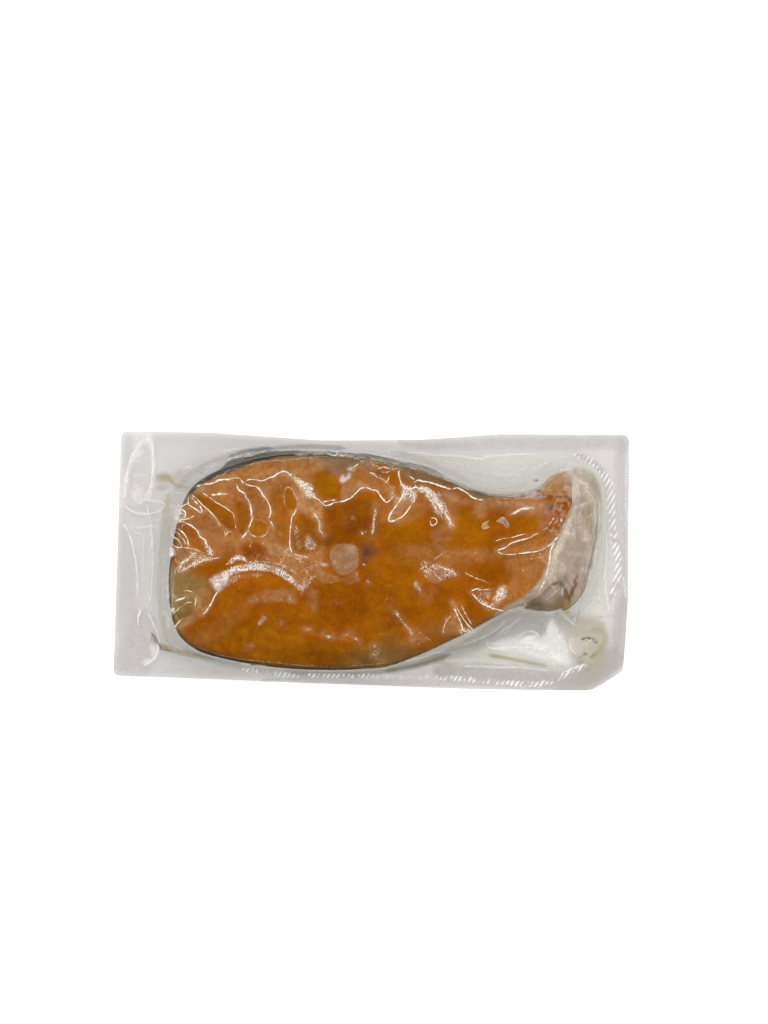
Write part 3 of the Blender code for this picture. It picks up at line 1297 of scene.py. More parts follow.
class Shader(NodeTree):
    """A material under construction."""

    def __init__(self, name: str) -> None:
        """Starts a material with only its output.

        Args:
            name: The material's name.
        """
        self.material = bpy.data.materials.new(name)
        self.material.use_nodes = True
        super().__init__(self.material.node_tree)
        self.nodes.clear()
        self.output = self.nodes.new("ShaderNodeOutputMaterial")

    def value(self, kind: str, settings: dict[str, Any], inputs: dict[Any, Any], output: Any) -> Value:
        """Makes a node for one of its outputs.

        Args:
            kind: The node's type.
            settings: Its own properties.
            inputs: Values or links for its sockets.
            output: The output's name or number.

        Returns:
            The output's value.
        """
        return Value(self, self.node(kind, settings, inputs).outputs[output])

    def math(self, operation: str, *values: Any) -> Value:
        """A Math node on one or two values."""
        return self.value("ShaderNodeMath", {"operation": operation}, dict(enumerate(values)), "Value")

    def place(self) -> Socket:
        """The point's place on the object, in metres."""
        return self.node("ShaderNodeTexCoord", {}, {}).outputs["Object"]

    def noise(self, size: float, detail: float = 2.0, warp: float = 0.0) -> Value:
        """Noise whose blotches are about size metres across."""
        inputs = {"Vector": self.place(), "Scale": 0.5 / size, "Detail": detail, "Distortion": warp}
        return self.value("ShaderNodeTexNoise", {}, inputs, 0)

    def cells(self, size: float) -> Value:
        """The distance to the nearest border of cells about size metres across."""
        inputs = {"Vector": self.place(), "Scale": 1.0 / size}
        return self.value("ShaderNodeTexVoronoi", {"feature": "DISTANCE_TO_EDGE"}, inputs, "Distance")

    def mark(self, name: str) -> Value:
        """The number that a point attribute holds."""
        return self.value("ShaderNodeAttribute", {"attribute_name": name}, {}, "Fac")

    def paint(self, name: str) -> tuple[Socket, Value]:
        """The colour and the cover that a colour attribute holds."""
        made = self.node("ShaderNodeAttribute", {"attribute_name": name}, {})
        return made.outputs["Color"], Value(self, made.outputs["Alpha"])

    def mixed(self, share: Any, first: Any, second: Any, blend: str = "MIX") -> Socket:
        """Two colours mixed by a share, with a blend mode's name."""
        settings = {"data_type": "RGBA", "blend_type": blend}
        return self.node("ShaderNodeMix", settings, {0: share, 6: first, 7: second}).outputs[2]

    def times(self, share: float, first: Any, second: Any) -> Socket:
        """Two colours multiplied, at a share."""
        return self.mixed(share, first, second, "MULTIPLY")

    def bump(self, height: Value) -> Socket:
        """A normal that follows a height given in metres."""
        inputs = {"Height": height, "Distance": 1.0, "Strength": 1.0}
        return self.node("ShaderNodeBump", {}, inputs).outputs["Normal"]

    def schlick(self, straight: float, slant: float, normal: Socket) -> Value:
        """The share mirrored by either face: straight + slant * (1 - cosine) ** 5.

        Args:
            straight: The share when seen straight on.
            slant: The share added when seen along the surface.
            normal: The surface's normal.

        Returns:
            The share at this angle.
        """
        inputs = {"Blend": 0.5, "Normal": normal}
        facing = self.value("ShaderNodeLayerWeight", {}, inputs, "Facing")
        return straight + slant * facing**5.0

    def clear(self, colour: Colour) -> Socket:
        """A shader that lets light straight through."""
        return self.node("ShaderNodeBsdfTransparent", {}, {"Color": colour}).outputs[0]

    def principled(self, **inputs: Any) -> Socket:
        """A Principled shader; underscores in the names stand for spaces."""
        named = {key.replace("_", " "): value for key, value in inputs.items()}
        return self.node("ShaderNodeBsdfPrincipled", {}, named).outputs[0]

    def blend(self, share: Any, first: Any, second: Any) -> Socket:
        """Two shaders mixed by a share."""
        return self.node("ShaderNodeMixShader", {}, {0: share, 1: first, 2: second}).outputs[0]

    def finished(self, surface: Socket) -> Material:
        """Joins the surface to the output and gives the material."""
        self.links.new(surface, self.output.inputs["Surface"])
        return self.material


# -------- finishes


@dataclass(frozen=True)
class FilmFinish:
    """Clear film: it lets light through, mirrors the lamps, and hazes over where it is marked.

    The point colour "cover" gives the haze's colour and amount, painted shade, shadow and
    highlights among its marks, and "mottle" how blotchy it is. "frost" is the film's sparkle,
    painted as a web of thin pale threads with specks between them, and "knurl" the hatch pressed
    into the weld, whose ridges also glow faintly as a painted glint.
    """

    clearness: Colour = (0.83, 0.82, 0.812)
    mirror: float = 0.04
    slant: float = 0.14
    roughness: float = 0.1
    thread: Colour = (0.95, 0.9, 0.82)
    ridge: Colour = (0.98, 0.98, 0.99)
    bruise: Colour = (0.42, 0.26, 0.18)
    faint_thread: Colour = (0.93, 0.68, 0.46)
    web_size: float = 0.62 * MM
    patch_size: float = 1.9 * MM
    grit_size: float = 0.32 * MM
    cloud_size: float = 2.4 * MM
    wisp_size: float = 0.8 * MM
    worn_size: float = 1.6 * MM
    relief: float = 0.1 * MM
    knurl_relief: float = 0.05 * MM
    thread_relief: float = 0.06 * MM
    knurl_pitch: float = 1.2 * MM
    # The strength of the painted glint that makes the hatch's ridges glow.
    glow: float = 0.22

    def sparkle(self, shader: Shader, frost: Value) -> tuple[Value, Value]:
        """The crinkled film's pale threads and specks, and the dark specks in its thickest part.

        The sparkle is painted: a thread runs where warped noise crosses one half, and frost widens
        it and lets it show in more patches.

        Args:
            shader: The material being made.
            frost: How finely the film crinkles, from 0 to 1.

        Returns:
            The cover of the pale marks and of the dark ones.
        """
        web = shader.noise(self.web_size, detail=3.0, warp=0.5)
        patches = shader.noise(self.patch_size, detail=3.0)
        grit = shader.noise(self.grit_size, detail=1.0)
        thread = abs(web - 0.5).between(0.02 + 0.04 * frost, 0.0)
        patch = patches.between(0.6 - 0.3 * frost, 0.72 - 0.3 * frost)
        speck = grit.between(0.64 - 0.15 * frost, 0.74 - 0.15 * frost) * (0.3 + 0.7 * patch)
        shown = (frost * 3.5).clamped() * (0.2 + 0.3 * frost + 0.7 * patches)
        pale = (thread * patch).at_least(speck) * shown
        return pale, grit.between(0.42, 0.3) * frost.between(0.45, 0.8) * 0.4

    def hatch(self, shader: Shader, knurl: Value) -> Value:
        """The weld's slanting ridges, 1 where sin((x + y) * turn / pitch) is high, worn unevenly.

        Args:
            shader: The material being made.
            knurl: Where the hatch is pressed in, from 0 to 1.

        Returns:
            The ridges' cover.
        """
        place = shader.node("ShaderNodeSeparateXYZ", {}, {0: shader.place()})
        x, y = (Value(shader, place.outputs[k]) for k in range(2))
        ridges = shader.math("SINE", (x + y) * (TAU / self.knurl_pitch))
        ripple = shader.math("SINE", (x - 0.6 * y) * (TAU / (1.7 * self.knurl_pitch)))
        worn = shader.noise(self.worn_size, detail=2.0)
        return (0.6 * ridges + 0.5 * ripple).between(-0.1, 0.7) * worn.between(0.32, 0.62) * knurl

    def make(self) -> Material:
        """Builds the material.

        Returns:
            The material.
        """
        shader = Shader("clear_film")
        colour, cover = shader.paint("cover")
        mottle, frost, knurl = (shader.mark(name) for name in ("mottle", "frost", "knurl"))
        clouds = shader.noise(self.cloud_size, detail=4.0, warp=0.4)
        wisps = shader.noise(self.wisp_size, detail=3.0, warp=0.4)
        blotches = 0.45 + 1.1 * (0.55 * clouds + 0.45 * wisps).between(0.36, 0.64)
        cloudy = cover * (1.0 + mottle * (blotches - 1.0))

        pale, dark = self.sparkle(shader, frost)
        hatch = self.hatch(shader, knurl)
        bright = pale.at_least(0.8 * hatch)
        haze = cloudy + (bright.at_least(dark)) * (1.0 - cloudy)
        toned = shader.mixed(dark.clamped(), colour, self.bruise)
        thick = frost.between(0.35, 0.75).at_least(mottle.between(0.9, 0.4))
        strand = shader.mixed(thick, self.faint_thread, self.thread)
        threaded = shader.mixed((bright * 1.5).clamped(), toned, strand)
        white = shader.mixed((hatch * 1.5).clamped(), threaded, self.ridge)
        height = clouds * self.relief + hatch * self.knurl_relief + pale * self.thread_relief
        normal = shader.bump(height)

        clear = shader.clear(self.clearness)
        inputs = {"Color": (1.0, 1.0, 1.0), "Roughness": self.roughness, "Normal": normal}
        gloss = shader.node("ShaderNodeBsdfGlossy", {}, inputs).outputs[0]
        bare = shader.blend(shader.schlick(self.mirror, self.slant, normal), clear, gloss)
        # The hatch's ridges glow faintly: a painted glint.
        glint = shader.mixed(hatch.clamped(), (0.0, 0.0, 0.0), self.ridge)
        hazed = shader.principled(
            Base_Color=white,
            Roughness=0.5,
            Specular_IOR_Level=0.2,
            Emission_Color=glint,
            Emission_Strength=self.glow,
            Normal=normal,
        )
        return shader.finished(shader.blend(haze.clamped(), bare, hazed))


@dataclass(frozen=True)
class CrestFinish:
    """The crest of a fold: the point colour "crest", which "grain" lets fine beads wear ragged."""

    # The crest's colour is mostly a painted highlight along its fold, and painted shade on a crease.
    bead: float = 0.4 * MM
    relief: float = 0.06 * MM
    roughness: float = 0.35

    def make(self) -> Material:
        """Builds the material.

        Returns:
            The material.
        """
        shader = Shader("fold_crest")
        colour, crest = shader.paint("crest")
        grain = shader.mark("grain")
        beads = shader.noise(self.bead, detail=2.0)
        streaks = shader.noise(6.0 * self.bead, detail=2.0)
        even = crest * (0.5 + 0.7 * streaks)
        ragged = (1.15 * even + 1.1 * (beads - 0.5)).between(0.12, 0.72) * (crest * 4.0).clamped()
        cover = (even + grain * (ragged - even)).clamped() * 0.95
        normal = shader.bump(beads * self.relief)
        clear = shader.clear((1.0, 1.0, 1.0))
        solid = shader.principled(Base_Color=colour, Roughness=self.roughness, Normal=normal)
        return shader.finished(shader.blend(cover, clear, solid))


@dataclass(frozen=True)
class FleshFinish:
    """Moist amber flesh: the point colour "tint", clouded at four sizes, with faint arcs."""

    dark: Colour = (0.62, 0.46, 0.3)
    light: Colour = (1.34, 1.5, 1.6)
    arc: Colour = (1.25, 1.45, 2.2)
    fleck: Colour = (0.62, 0.31, 0.09)
    cloud_sizes: tuple[float, ...] = (10.0 * MM, 3.2 * MM, 1.3 * MM, 0.5 * MM)
    fleck_size: float = 0.95 * MM
    reliefs: tuple[float, float] = (0.1 * MM, 0.2 * MM)
    scattering: Colour = (0.004, 0.0015, 0.0006)
    roughness: float = 0.6

    def make(self) -> Material:
        """Builds the material.

        Returns:
            The material.
        """
        shader = Shader("salmon_flesh")
        colour, _ = shader.paint("tint")
        arcs = shader.mark("arcs")
        broad_size, medium_size, fine_size, grain_size = self.cloud_sizes
        broad = shader.noise(broad_size, detail=2.0, warp=0.8).between(0.32, 0.68)
        medium = shader.noise(medium_size, detail=3.0, warp=0.6).between(0.3, 0.7)
        fine = shader.noise(fine_size, detail=3.0, warp=0.3).between(0.3, 0.7)
        grain = shader.noise(grain_size, detail=2.0).between(0.3, 0.7)
        tone = 0.33 * broad + 0.27 * medium + 0.21 * fine + 0.19 * grain
        base = shader.times(0.8, colour, shader.mixed(tone, self.dark, self.light))
        lined = shader.times(0.65 * arcs * medium, base, self.arc)
        flecks = shader.noise(self.fleck_size, detail=2.0, warp=0.6).between(0.64, 0.74)
        flecked = shader.mixed(flecks * broad * 0.3, lined, self.fleck)
        normal = shader.bump(fine * self.reliefs[0] + medium * self.reliefs[1])
        surface = shader.principled(
            Base_Color=flecked,
            Roughness=self.roughness,
            Specular_IOR_Level=0.0,
            Subsurface_Weight=0.12,
            Subsurface_Radius=self.scattering,
            Subsurface_Scale=1.0,
            Normal=normal,
        )
        return shader.finished(surface)


@dataclass(frozen=True)
class SkinFinish:
    """Fish skin: the point colour "tint", with overlapping scales and a wet sheen."""

    scale_length: float = 2.2 * MM
    grain_size: float = 0.7 * MM
    patch_size: float = 3.0 * MM
    scale_relief: float = 0.1 * MM
    grain_relief: float = 0.08 * MM
    scale_tones: tuple[Colour, Colour] = ((0.45, 0.45, 0.45), (1.1, 1.1, 1.08))
    speckle_tones: tuple[Colour, Colour] = ((0.5, 0.5, 0.5), (1.5, 1.5, 1.5))
    roughness: float = 0.35

    def make(self) -> Material:
        """Builds the material.

        Returns:
            The material.
        """
        shader = Shader("fish_skin")
        colour, _ = shader.paint("tint")
        rim = shader.cells(self.scale_length).between(0.02, 0.16)
        grain = shader.noise(self.grain_size, detail=3.0)
        patches = shader.noise(self.patch_size, detail=3.0, warp=0.5).between(0.35, 0.65)
        shaded = shader.mixed(rim, *self.scale_tones)
        speckled = shader.mixed(0.4 * grain + 0.6 * patches, *self.speckle_tones)
        base = shader.times(0.9, shader.times(0.5, colour, shaded), speckled)
        normal = shader.bump(rim * self.scale_relief + grain * self.grain_relief)
        inputs = {"Base Color": base, "Roughness": self.roughness, "Specular IOR Level": 0.4}
        return shader.finished(shader.principled(**inputs, Normal=normal))


@dataclass(frozen=True)
class MoistFinish:
    """A pale or dark moist piece: the point colour "tint", clouded by noise of one size."""

    name: str
    cloud: float
    contrast: float = 0.3
    roughness: float = 0.4
    gloss: float = 0.3
    relief: float = 0.1 * MM

    def make(self) -> Material:
        """Builds the material.

        Returns:
            The material.
        """
        shader = Shader(self.name)
        colour, _ = shader.paint("tint")
        clouds = shader.noise(self.cloud, detail=4.0, warp=0.5)
        dark, light = ((tone,) * 3 for tone in (1.0 - self.contrast, 1.0 + self.contrast))
        tone = shader.mixed(clouds.between(0.3, 0.7), dark, light)
        base = shader.times(1.0, colour, tone)
        normal = shader.bump(clouds * self.relief)
        inputs = {"Base Color": base, "Roughness": self.roughness, "Specular IOR Level": self.gloss}
        return shader.finished(shader.principled(**inputs, Normal=normal))


@dataclass(frozen=True)
class FloorFinish:
    """A plain matt white floor that glows a little, so that its shadows stay white."""

    colour: Colour = (0.9, 0.9, 0.9)
    glow: float = 0.42

    def make(self) -> Material:
        """Builds the material.

        Returns:
            The material.
        """
        shader = Shader("floor")
        surface = shader.principled(
            Base_Color=self.colour,
            Roughness=0.9,
            Specular_IOR_Level=0.0,
            Emission_Color=(1.0, 1.0, 1.0),
            Emission_Strength=self.glow,
        )
        return shader.finished(surface)


# -------- the film

VEILS = """
# Film that stands a little off the flesh and pales what is under it.
.1 veil field 3 176,514 188,497 203,487 222,479 245,474 262,478 285,470 312,474 322,500 332,520 332,545
  322,558 300,562 275,560 250,556 232,552 216,556 202,549 186,535
.13 peach_veil field 1.4 203,486 222,474 245,465 275,459 310,457 327,462 320,472 300,473 285,470 262,478
  245,477 222,479
.1 veil field .9 292,478 303,484 312,495 322,503 322,515 326,532 318,522 303,511 299,505 297,494
.07 veil field .9 343,482 352,474 370,474 388,482 394,494 388,501 382,498 376,491 366,487 358,490 352,497
  342,500
.06 veil field 1.6 372,492 386,503 398,498 410,492 402,504 390,521 380,522 376,508
.07 veil field 1.6 416,490 440,488 452,492 460,500 456,520 450,528 442,524 432,510 424,498
.065 veil field 1.6 397,500 408,492 418,495 428,508 420,518 405,523 392,522
.1 veil spot .5 479,512 9,9
.08 veil field 2 435,528 446,525 450,535 445,545 436,548 432,538
.075 veil field 2.2 396,547 430,546 470,549 496,550 503,556 480,562 452,566 425,563 405,556
.09 veil field .7 504,551 520,544 540,538 552,528 558,534 550,545 530,551
.08 80,62,56 field .8 494,548 510,540 526,536 536,534 520,541 505,548
.07 veil field 1.8 505,560 525,556 545,556 546,568 538,584 522,598 505,607 490,602 500,590 512,576
.1 veil field .8 488,498 520,496 545,500 556,503 545,508 532,505 510,506 497,504
.08 80,62,50 field 1.2 538,503 553,511 548,522 540,532 537,520
.035 veil field 1.4 443,618 452,612 458,622 464,630 450,636 430,634 418,642 408,646 402,640 412,634 410,626
.08 veil field .8 444,632 449,622 454,616 460,624 464,631 456,634
.1 56,50,44 field 1.8 325,460 350,461 372,463 390,470 380,474 355,471 340,478 330,470
.06 90,72,56 field 1.2 345,486 360,484 368,487 362,493 350,500 342,498
.1 90,70,50 field 1.2 396,500 406,494 412,498 402,510 392,519 390,513
.09 90,70,50 field 2.2 440,490 470,500 510,502 540,506 545,515 520,514 490,508 455,502
.08 veil field 1.2 183,536 196,540 206,548 200,552 188,549
.2 90,68,46 field 1.2 540,548 550,541 553,550 547,562 541,560
.06 veil field 1.2 212,508 224,516 232,526 226,530 216,520
.03 veil field 3 216,622 235,608 250,600 252,606 240,618 228,632 215,642 200,645 190,638 205,628
.12 peach_veil field .9 200,590 211,588 214,598 208,611 197,620 182,628 177,626 192,614 199,604
.09 veil field 250,596 265,590 285,588 296,592 297,602 286,601 270,601 252,602
.05 veil field 2.6 236,552 262,544 300,552 325,560 328,570 312,584 296,575 275,566 250,562
.1 veil field .5 320,570 333,574 345,577 357,570 359,580 350,583 342,580 333,582 322,581
.08 peach_veil field 1.6 311,590 318,592 320,605 314,612 309,604
.14 70,50,34 field 1.2 174,546 195,549 204,552 194,558 186,562 180,556
.4 62,54,48 field .9 480,488 500,490 530,491 545,495 540,499 520,497 500,496 488,495
"""

CLEARINGS = """
# Film that lies close, so that the flesh shows deep and wet.
.95 field .5 196,494 205,496 215,502 228,509 236,516 237,526 231,529 224,524 215,514 205,505
.85 field 238,503 247,502 251,508 252,518 250,527 245,534 240,530 238,518
.95 spot .2 259,528 9.5,8
.95 field .35 287,490 291,489 296,496 298,504 295,509 289,508 286,500
.9 field .7 299,515 307,515 314,521 320,532 322,545 315,552 302,554 295,550 293,538 294,524
.75 field 1.6 273,492 284,490 286,503 290,512 290,530 286,545 278,540 275,522 272,505
.7 field .7 181,523 190,525 199,531 205,541 210,550 200,549 190,540 184,530
.95 field 1.6 241,545 258,541 268,549 264,559 255,561 246,556
.9 field 1.4 326,506 345,502 360,492 375,492 383,501 380,520 372,540 350,545 332,540 326,525
.95 spot .35 326,486 13.5,13
.95 spot .8 328,538 8,14
.35 field 1.2 246,489 255,492 262,500 264,512 258,518 254,508 250,498
"""

# Milky blotches and flecks on the flesh and at its left side, with painted highlights among them.
# The next five rows are painted glints on the film at the steak's left side.
# The next five rows are painted highlights on the pillow.
# The next five rows are painted highlights where the crinkled film glints.
# The next row is painted shadow under the steak at its lower right.
# The next row is painted shadow under the steak's lower edge.
# The next row is painted shadow under the steak's lower edge.
# The next row is painted shadow under the steak's lower left edge.
# The next three rows are painted highlights on low folds.
# The next two rows are painted highlights on the rim's curl.
# The next two rows are painted shade in the rim's fold at its lower right corner, and painted shadow on
# the rim below the steak.
# The next two rows are the steak's painted shadow on the tent at its lower right.
# The tented film between the steak and the pocket's edge. Its first three rows are painted shade just
# round the steak.
HAZES = """
# Milky blotches on the flesh and at its left side.
.5 95,86,76 field 1.2 212,579 217,575 225,572 230,576 228,583 222,589 218,589 214,584
.5 milk spot .9 50 220,584 5,3.5
.35 milk spot .8 241,558 7,2.2
.4 85,76,74 field .6 340,481 343,475 346,478 350,473 351,477 347,481 343,483
.25 milk spot .6 10 352,469 6,2
.5 75,56,42 field .4 259,622 262,618 265,615 267,617 264,621 261,624
.32 90,68,50 field .4 414,582 416,581 418,586 420,590 421,593 418,590 415,587
.17 90,60,42 spot .8 330,635 5,1.2
.12 90,60,42 spot .8 10 347,634 4,1.2
.2 90,62,42 spot 309,628 4.5,2
.35 milk spot 325,564 4,2.2
.3 milk spot .8 364,564 1.6,1.2
.2 85,66,48 spot 352,549 6,6
.12 80,56,38 spot .6 345,561 13,14
.6 milk field .7 171,548 175,548 176,553 174,556 171,555
.22 milk field .9 174,509 181,508 183,516 180,521 175,519
.4 milk spot 171,506 4,4
.45 milk spot .8 -14 169,623 3,8
.6 milk spot .5 174,609 2.6,3
.4 milk spot .9 20 187,467 6,2.4
# The tented film between the steak and the pocket's edge.
.38 36,33,27 stroke 2.4 174,490 184,480 194,472 206,465 220,459 238,454
.42 20,19,17 stroke 1.5 240,456 262,450 285,447 312,446 345,448
.32 42,38,32 stroke 2.6 392,452 412,457 432,464 450,472 470,481
.4 26,22,17 stroke 2.2 285,671 320,674 360,674 395,669
.1 50,48,42 field 2 172,478 190,462 215,455 260,448 300,447 262,452 226,464 200,479 190,488 177,520
  172,540 166,530 168,500
.26 50,47,38 field 1.8 164,495 172,515 172,560 170,600 176,628 190,645 176,650 162,640 162,600 160,550
.42 30,27,23 field 1.8 186,648 215,656 250,666 300,670 360,670 395,667 410,664 395,672 360,677 300,677
  250,672 200,660
.12 milk field 2 160,655 200,664 250,672 290,677 270,682 200,676 150,668
.16 58,58,50 field 2.5 350,449 390,453 425,462 455,474 480,486 510,490 540,488 546,477 560,462 500,459
  430,454
.2 75,77,66 field 2 440,458 500,459 545,461 545,472 540,484 500,484 470,478 445,468
.3 74,76,64 field 1.6 560,462 590,466 604,482 607,520 606,600 604,616 582,616 592,580 598,540 598,500
  590,478 575,470
.5 grey_veil field 1.6 420,662 455,645 480,630 506,612 540,611 552,616 545,636 500,642 470,655
.4 62,63,53 field 1.6 405,662 450,652 490,650 560,662 550,668 500,664 440,666
.35 90,91,87 field 1.6 492,646 520,636 542,638 548,622 554,620 562,636 569,652 570,666 545,661 520,653
.5 white spot .9 12 531,638 9,3
.6 white spot .9 -22 542,648 14,4
.6 white spot .9 -35 557,656 10,5
.6 white spot .9 -8 552,629 3,9
.35 white spot 502,650 10,2
# The lining's outer edge lies in the milky film.
.55 70,58,46 stroke 2 543,482 551,475 560,471 572,471 584,474
.42 85,76,64 spot 569,479 9,8
# The lining's pale inner side, and the brown hollow round the gristle.
.3 90,80,68 stroke 3.2 .95 570,520 563,537 557,553 550,570 543,582
.5 24,15,7 stroke 1 549,585 556,583 562,585 566,592 566,600 569,609
.6 26,12,7 stroke .9 570,597 573,590 577,582
.45 18,12.5,8 field 2.2 526,603 536,599 542,604 540,609 530,609
.5 50,34,13 spot .9 10 566,604 4,7
.16 72,64,57 spot 549,597 9,8
.6 56,50,42 stroke 2.4 600,535 597,552 592,568 586,584
.62 72,70,62 stroke 3 562,470 572,466 584,466 595,472 602,484 605,500 604,522 601,545 596,566 590,586
  582,602 572,612
.5 58,56,47 stroke 1.6 574,613 560,614 540,613 525,611 510,612
.4 55,53,48 field .8 556,618 566,624 578,628 572,640 568,650 561,636
.35 milk field 1.2 571,640 582,638 584,650 578,655 572,650
.14 90,86,87 field 580,448 600,449 622,452 622,616 612,616 614,560 613,490 600,466
# The rim.
.52 43,39,29 field 2.4 556,616 575,616 600,620 607,640 604,664 590,672 575,668 572,640 562,626
.44 38,35,30 field 1.8 440,667 500,668 560,671 600,664 612,650 624,660 600,686 560,690 480,684 440,680
.75 20,17.5,13 stroke 2.2 383,671 398,669 415,666 432,661 450,655
# The film hides the dark rim of the flesh, except on the fish's back.
.55 46,40,31 stroke 1 296,455 320,454 345,456 370,459 400,465 430,474 455,483 480,490 510,493 535,492
.5 40,35,25 stroke 1 400,667 425,660 450,650 475,636 500,619 520,611
.9 62,57,46 stroke 1.1 .8 169,573 169,586 170,600
.6 36,32,20 stroke 2 150,640 158,646 170,650 185,654 200,657
.5 30,28,23 stroke 1.6 182,647 200,655 225,661 250,665
.6 12,11,10 stroke 1.5 228,457 240,452 255,449 272,448
.4 42,38,26 spot 160,487 8,4
.5 60,57,52 stroke .6 190,484 203,474 219,464 236,457 256,453
.42 42,40,39 stroke 2.2 .7 576,453 590,460 602,471 610,484 613,505 614,525 618,550 619,575 612,602
.4 milk stroke 1.5 148,434 151,450 152,468 151,485 148,498
.28 milk stroke 1.6 142,440 134,450 129,465 126,480 124,495
.1 pink_grey field 3 118,440 130,432 330,442 330,446 240,446 150,450 150,510 120,512
.3 pink_grey field 1.2 400,440 460,437 500,434 630,434 630,448 500,449 420,448
.34 pink_grey field 1.6 617,450 632,450 630,640 618,660 618,560
.42 46,43,40 field 1.6 617,606 630,600 628,660 606,676 590,690 560,692 560,680 590,672 610,650
.25 46,43,40 field 1.4 300,676 400,682 560,682 560,690 400,688 300,684
.22 pink_grey field 2 117,515 128,535 134,560 135,600 150,670 112,678 112,600
.18 pink_grey field 2 140,610 170,650 200,662 250,676 180,680 112,678 120,650
.35 milk field 2.8 134,430 150,432 151,444 142,446 136,450 132,446
.4 milk spot 146,438 4,5
.45 milk field 1.6 134,452 140,450 141,455 136,458 133,463 131,458
.4 milk spot 136,495 9,11
.4 milk spot .9 -8 147,495 3,8
.35 90,84,85 spot 124,490 4,22
.5 94,88,90 spot .9 20 153,651 5,8
.45 94,88,90 spot .9 20 146,662 7,3
.25 milk spot 165,613 5,5
# Juice and stains.
.5 45,36,16 field 1.6 155,476 162,473 168,475 172,480 165,482 157,480
.6 42,29,9 stroke .75 .8 160,478 166,476 170,481 175,485 184,487 191,489
.2 olive spot .9 20 178,474 9,6
.35 40,38,28 spot 158,478 4,5
.55 olive_deep stroke .8 .8 150,633 155,641 161,649
.8 36,27,6 stroke 1.1 .8 160,650 164,648 168,651 172,650
.5 50,47,33 stroke 1.8 168,494 165,512 162,531 160,557 159,580 159,600 162,622 166,640
.5 40,36,24 stroke 1 172,652 185,655 200,658 215,662
.4 olive_deep stroke .9 196,654 206,657 216,659
.4 50,47,38 stroke 1 240,667 252,664 270,666
.9 2,1.5,1 stroke .6 .8 252,663 256,664
.9 2,1.5,1 stroke .6 .8 265,661 268,663
.55 42,38,16 stroke 1 .8 488,655 497,656 503,658
.6 30,27,14 stroke 1.2 490,657 502,658 518,661 533,664 548,667
.45 olive stroke .8 .8 442,665 448,666 454,665
.65 20,19,12 stroke .75 .8 533,480 537,481
.22 55,50,32 field 1.6 583,640 592,634 600,634 605,640 602,654 594,661 586,658 584,650
.5 36,32,18 stroke 1.8 590,633 600,630 605,634 606,642 602,652 596,660
.3 50,48,38 spot .95 20 596,640 14,13
.95 14,7,1.5 stroke .7 .7 582,640 587,639 592,639
.8 14,7,1.5 stroke .45 .8 592,639 596,641 598,645
.45 36,31,15 stroke 1.1 593,658 598,652 602,645
.7 10,7,3 spot .6 591,670 1.3,.9
.8 8,6,3 spot .6 20 593,676 1.5,1
.6 20,16,7 spot .6 586,664 1.6,.9
.8 28,20,7 stroke 1.1 .8 592,659 594,656 597,654
.8 8,6,3 stroke .45 .8 585,653 588,656
.6 30,24,10 spot .8 581,663 2.5,1.6
.3 olive spot 604,626 3,3
.3 42,38,28 field 2 580,664 598,660 608,650 606,668 596,682 580,690
.35 olive spot 589,522 3.5,14
.45 olive spot 586,513 5,3.5
.6 46,36,14 spot .9 -10 566,612 6,3
.5 30,28,20 spot 557,614 3,2
"""

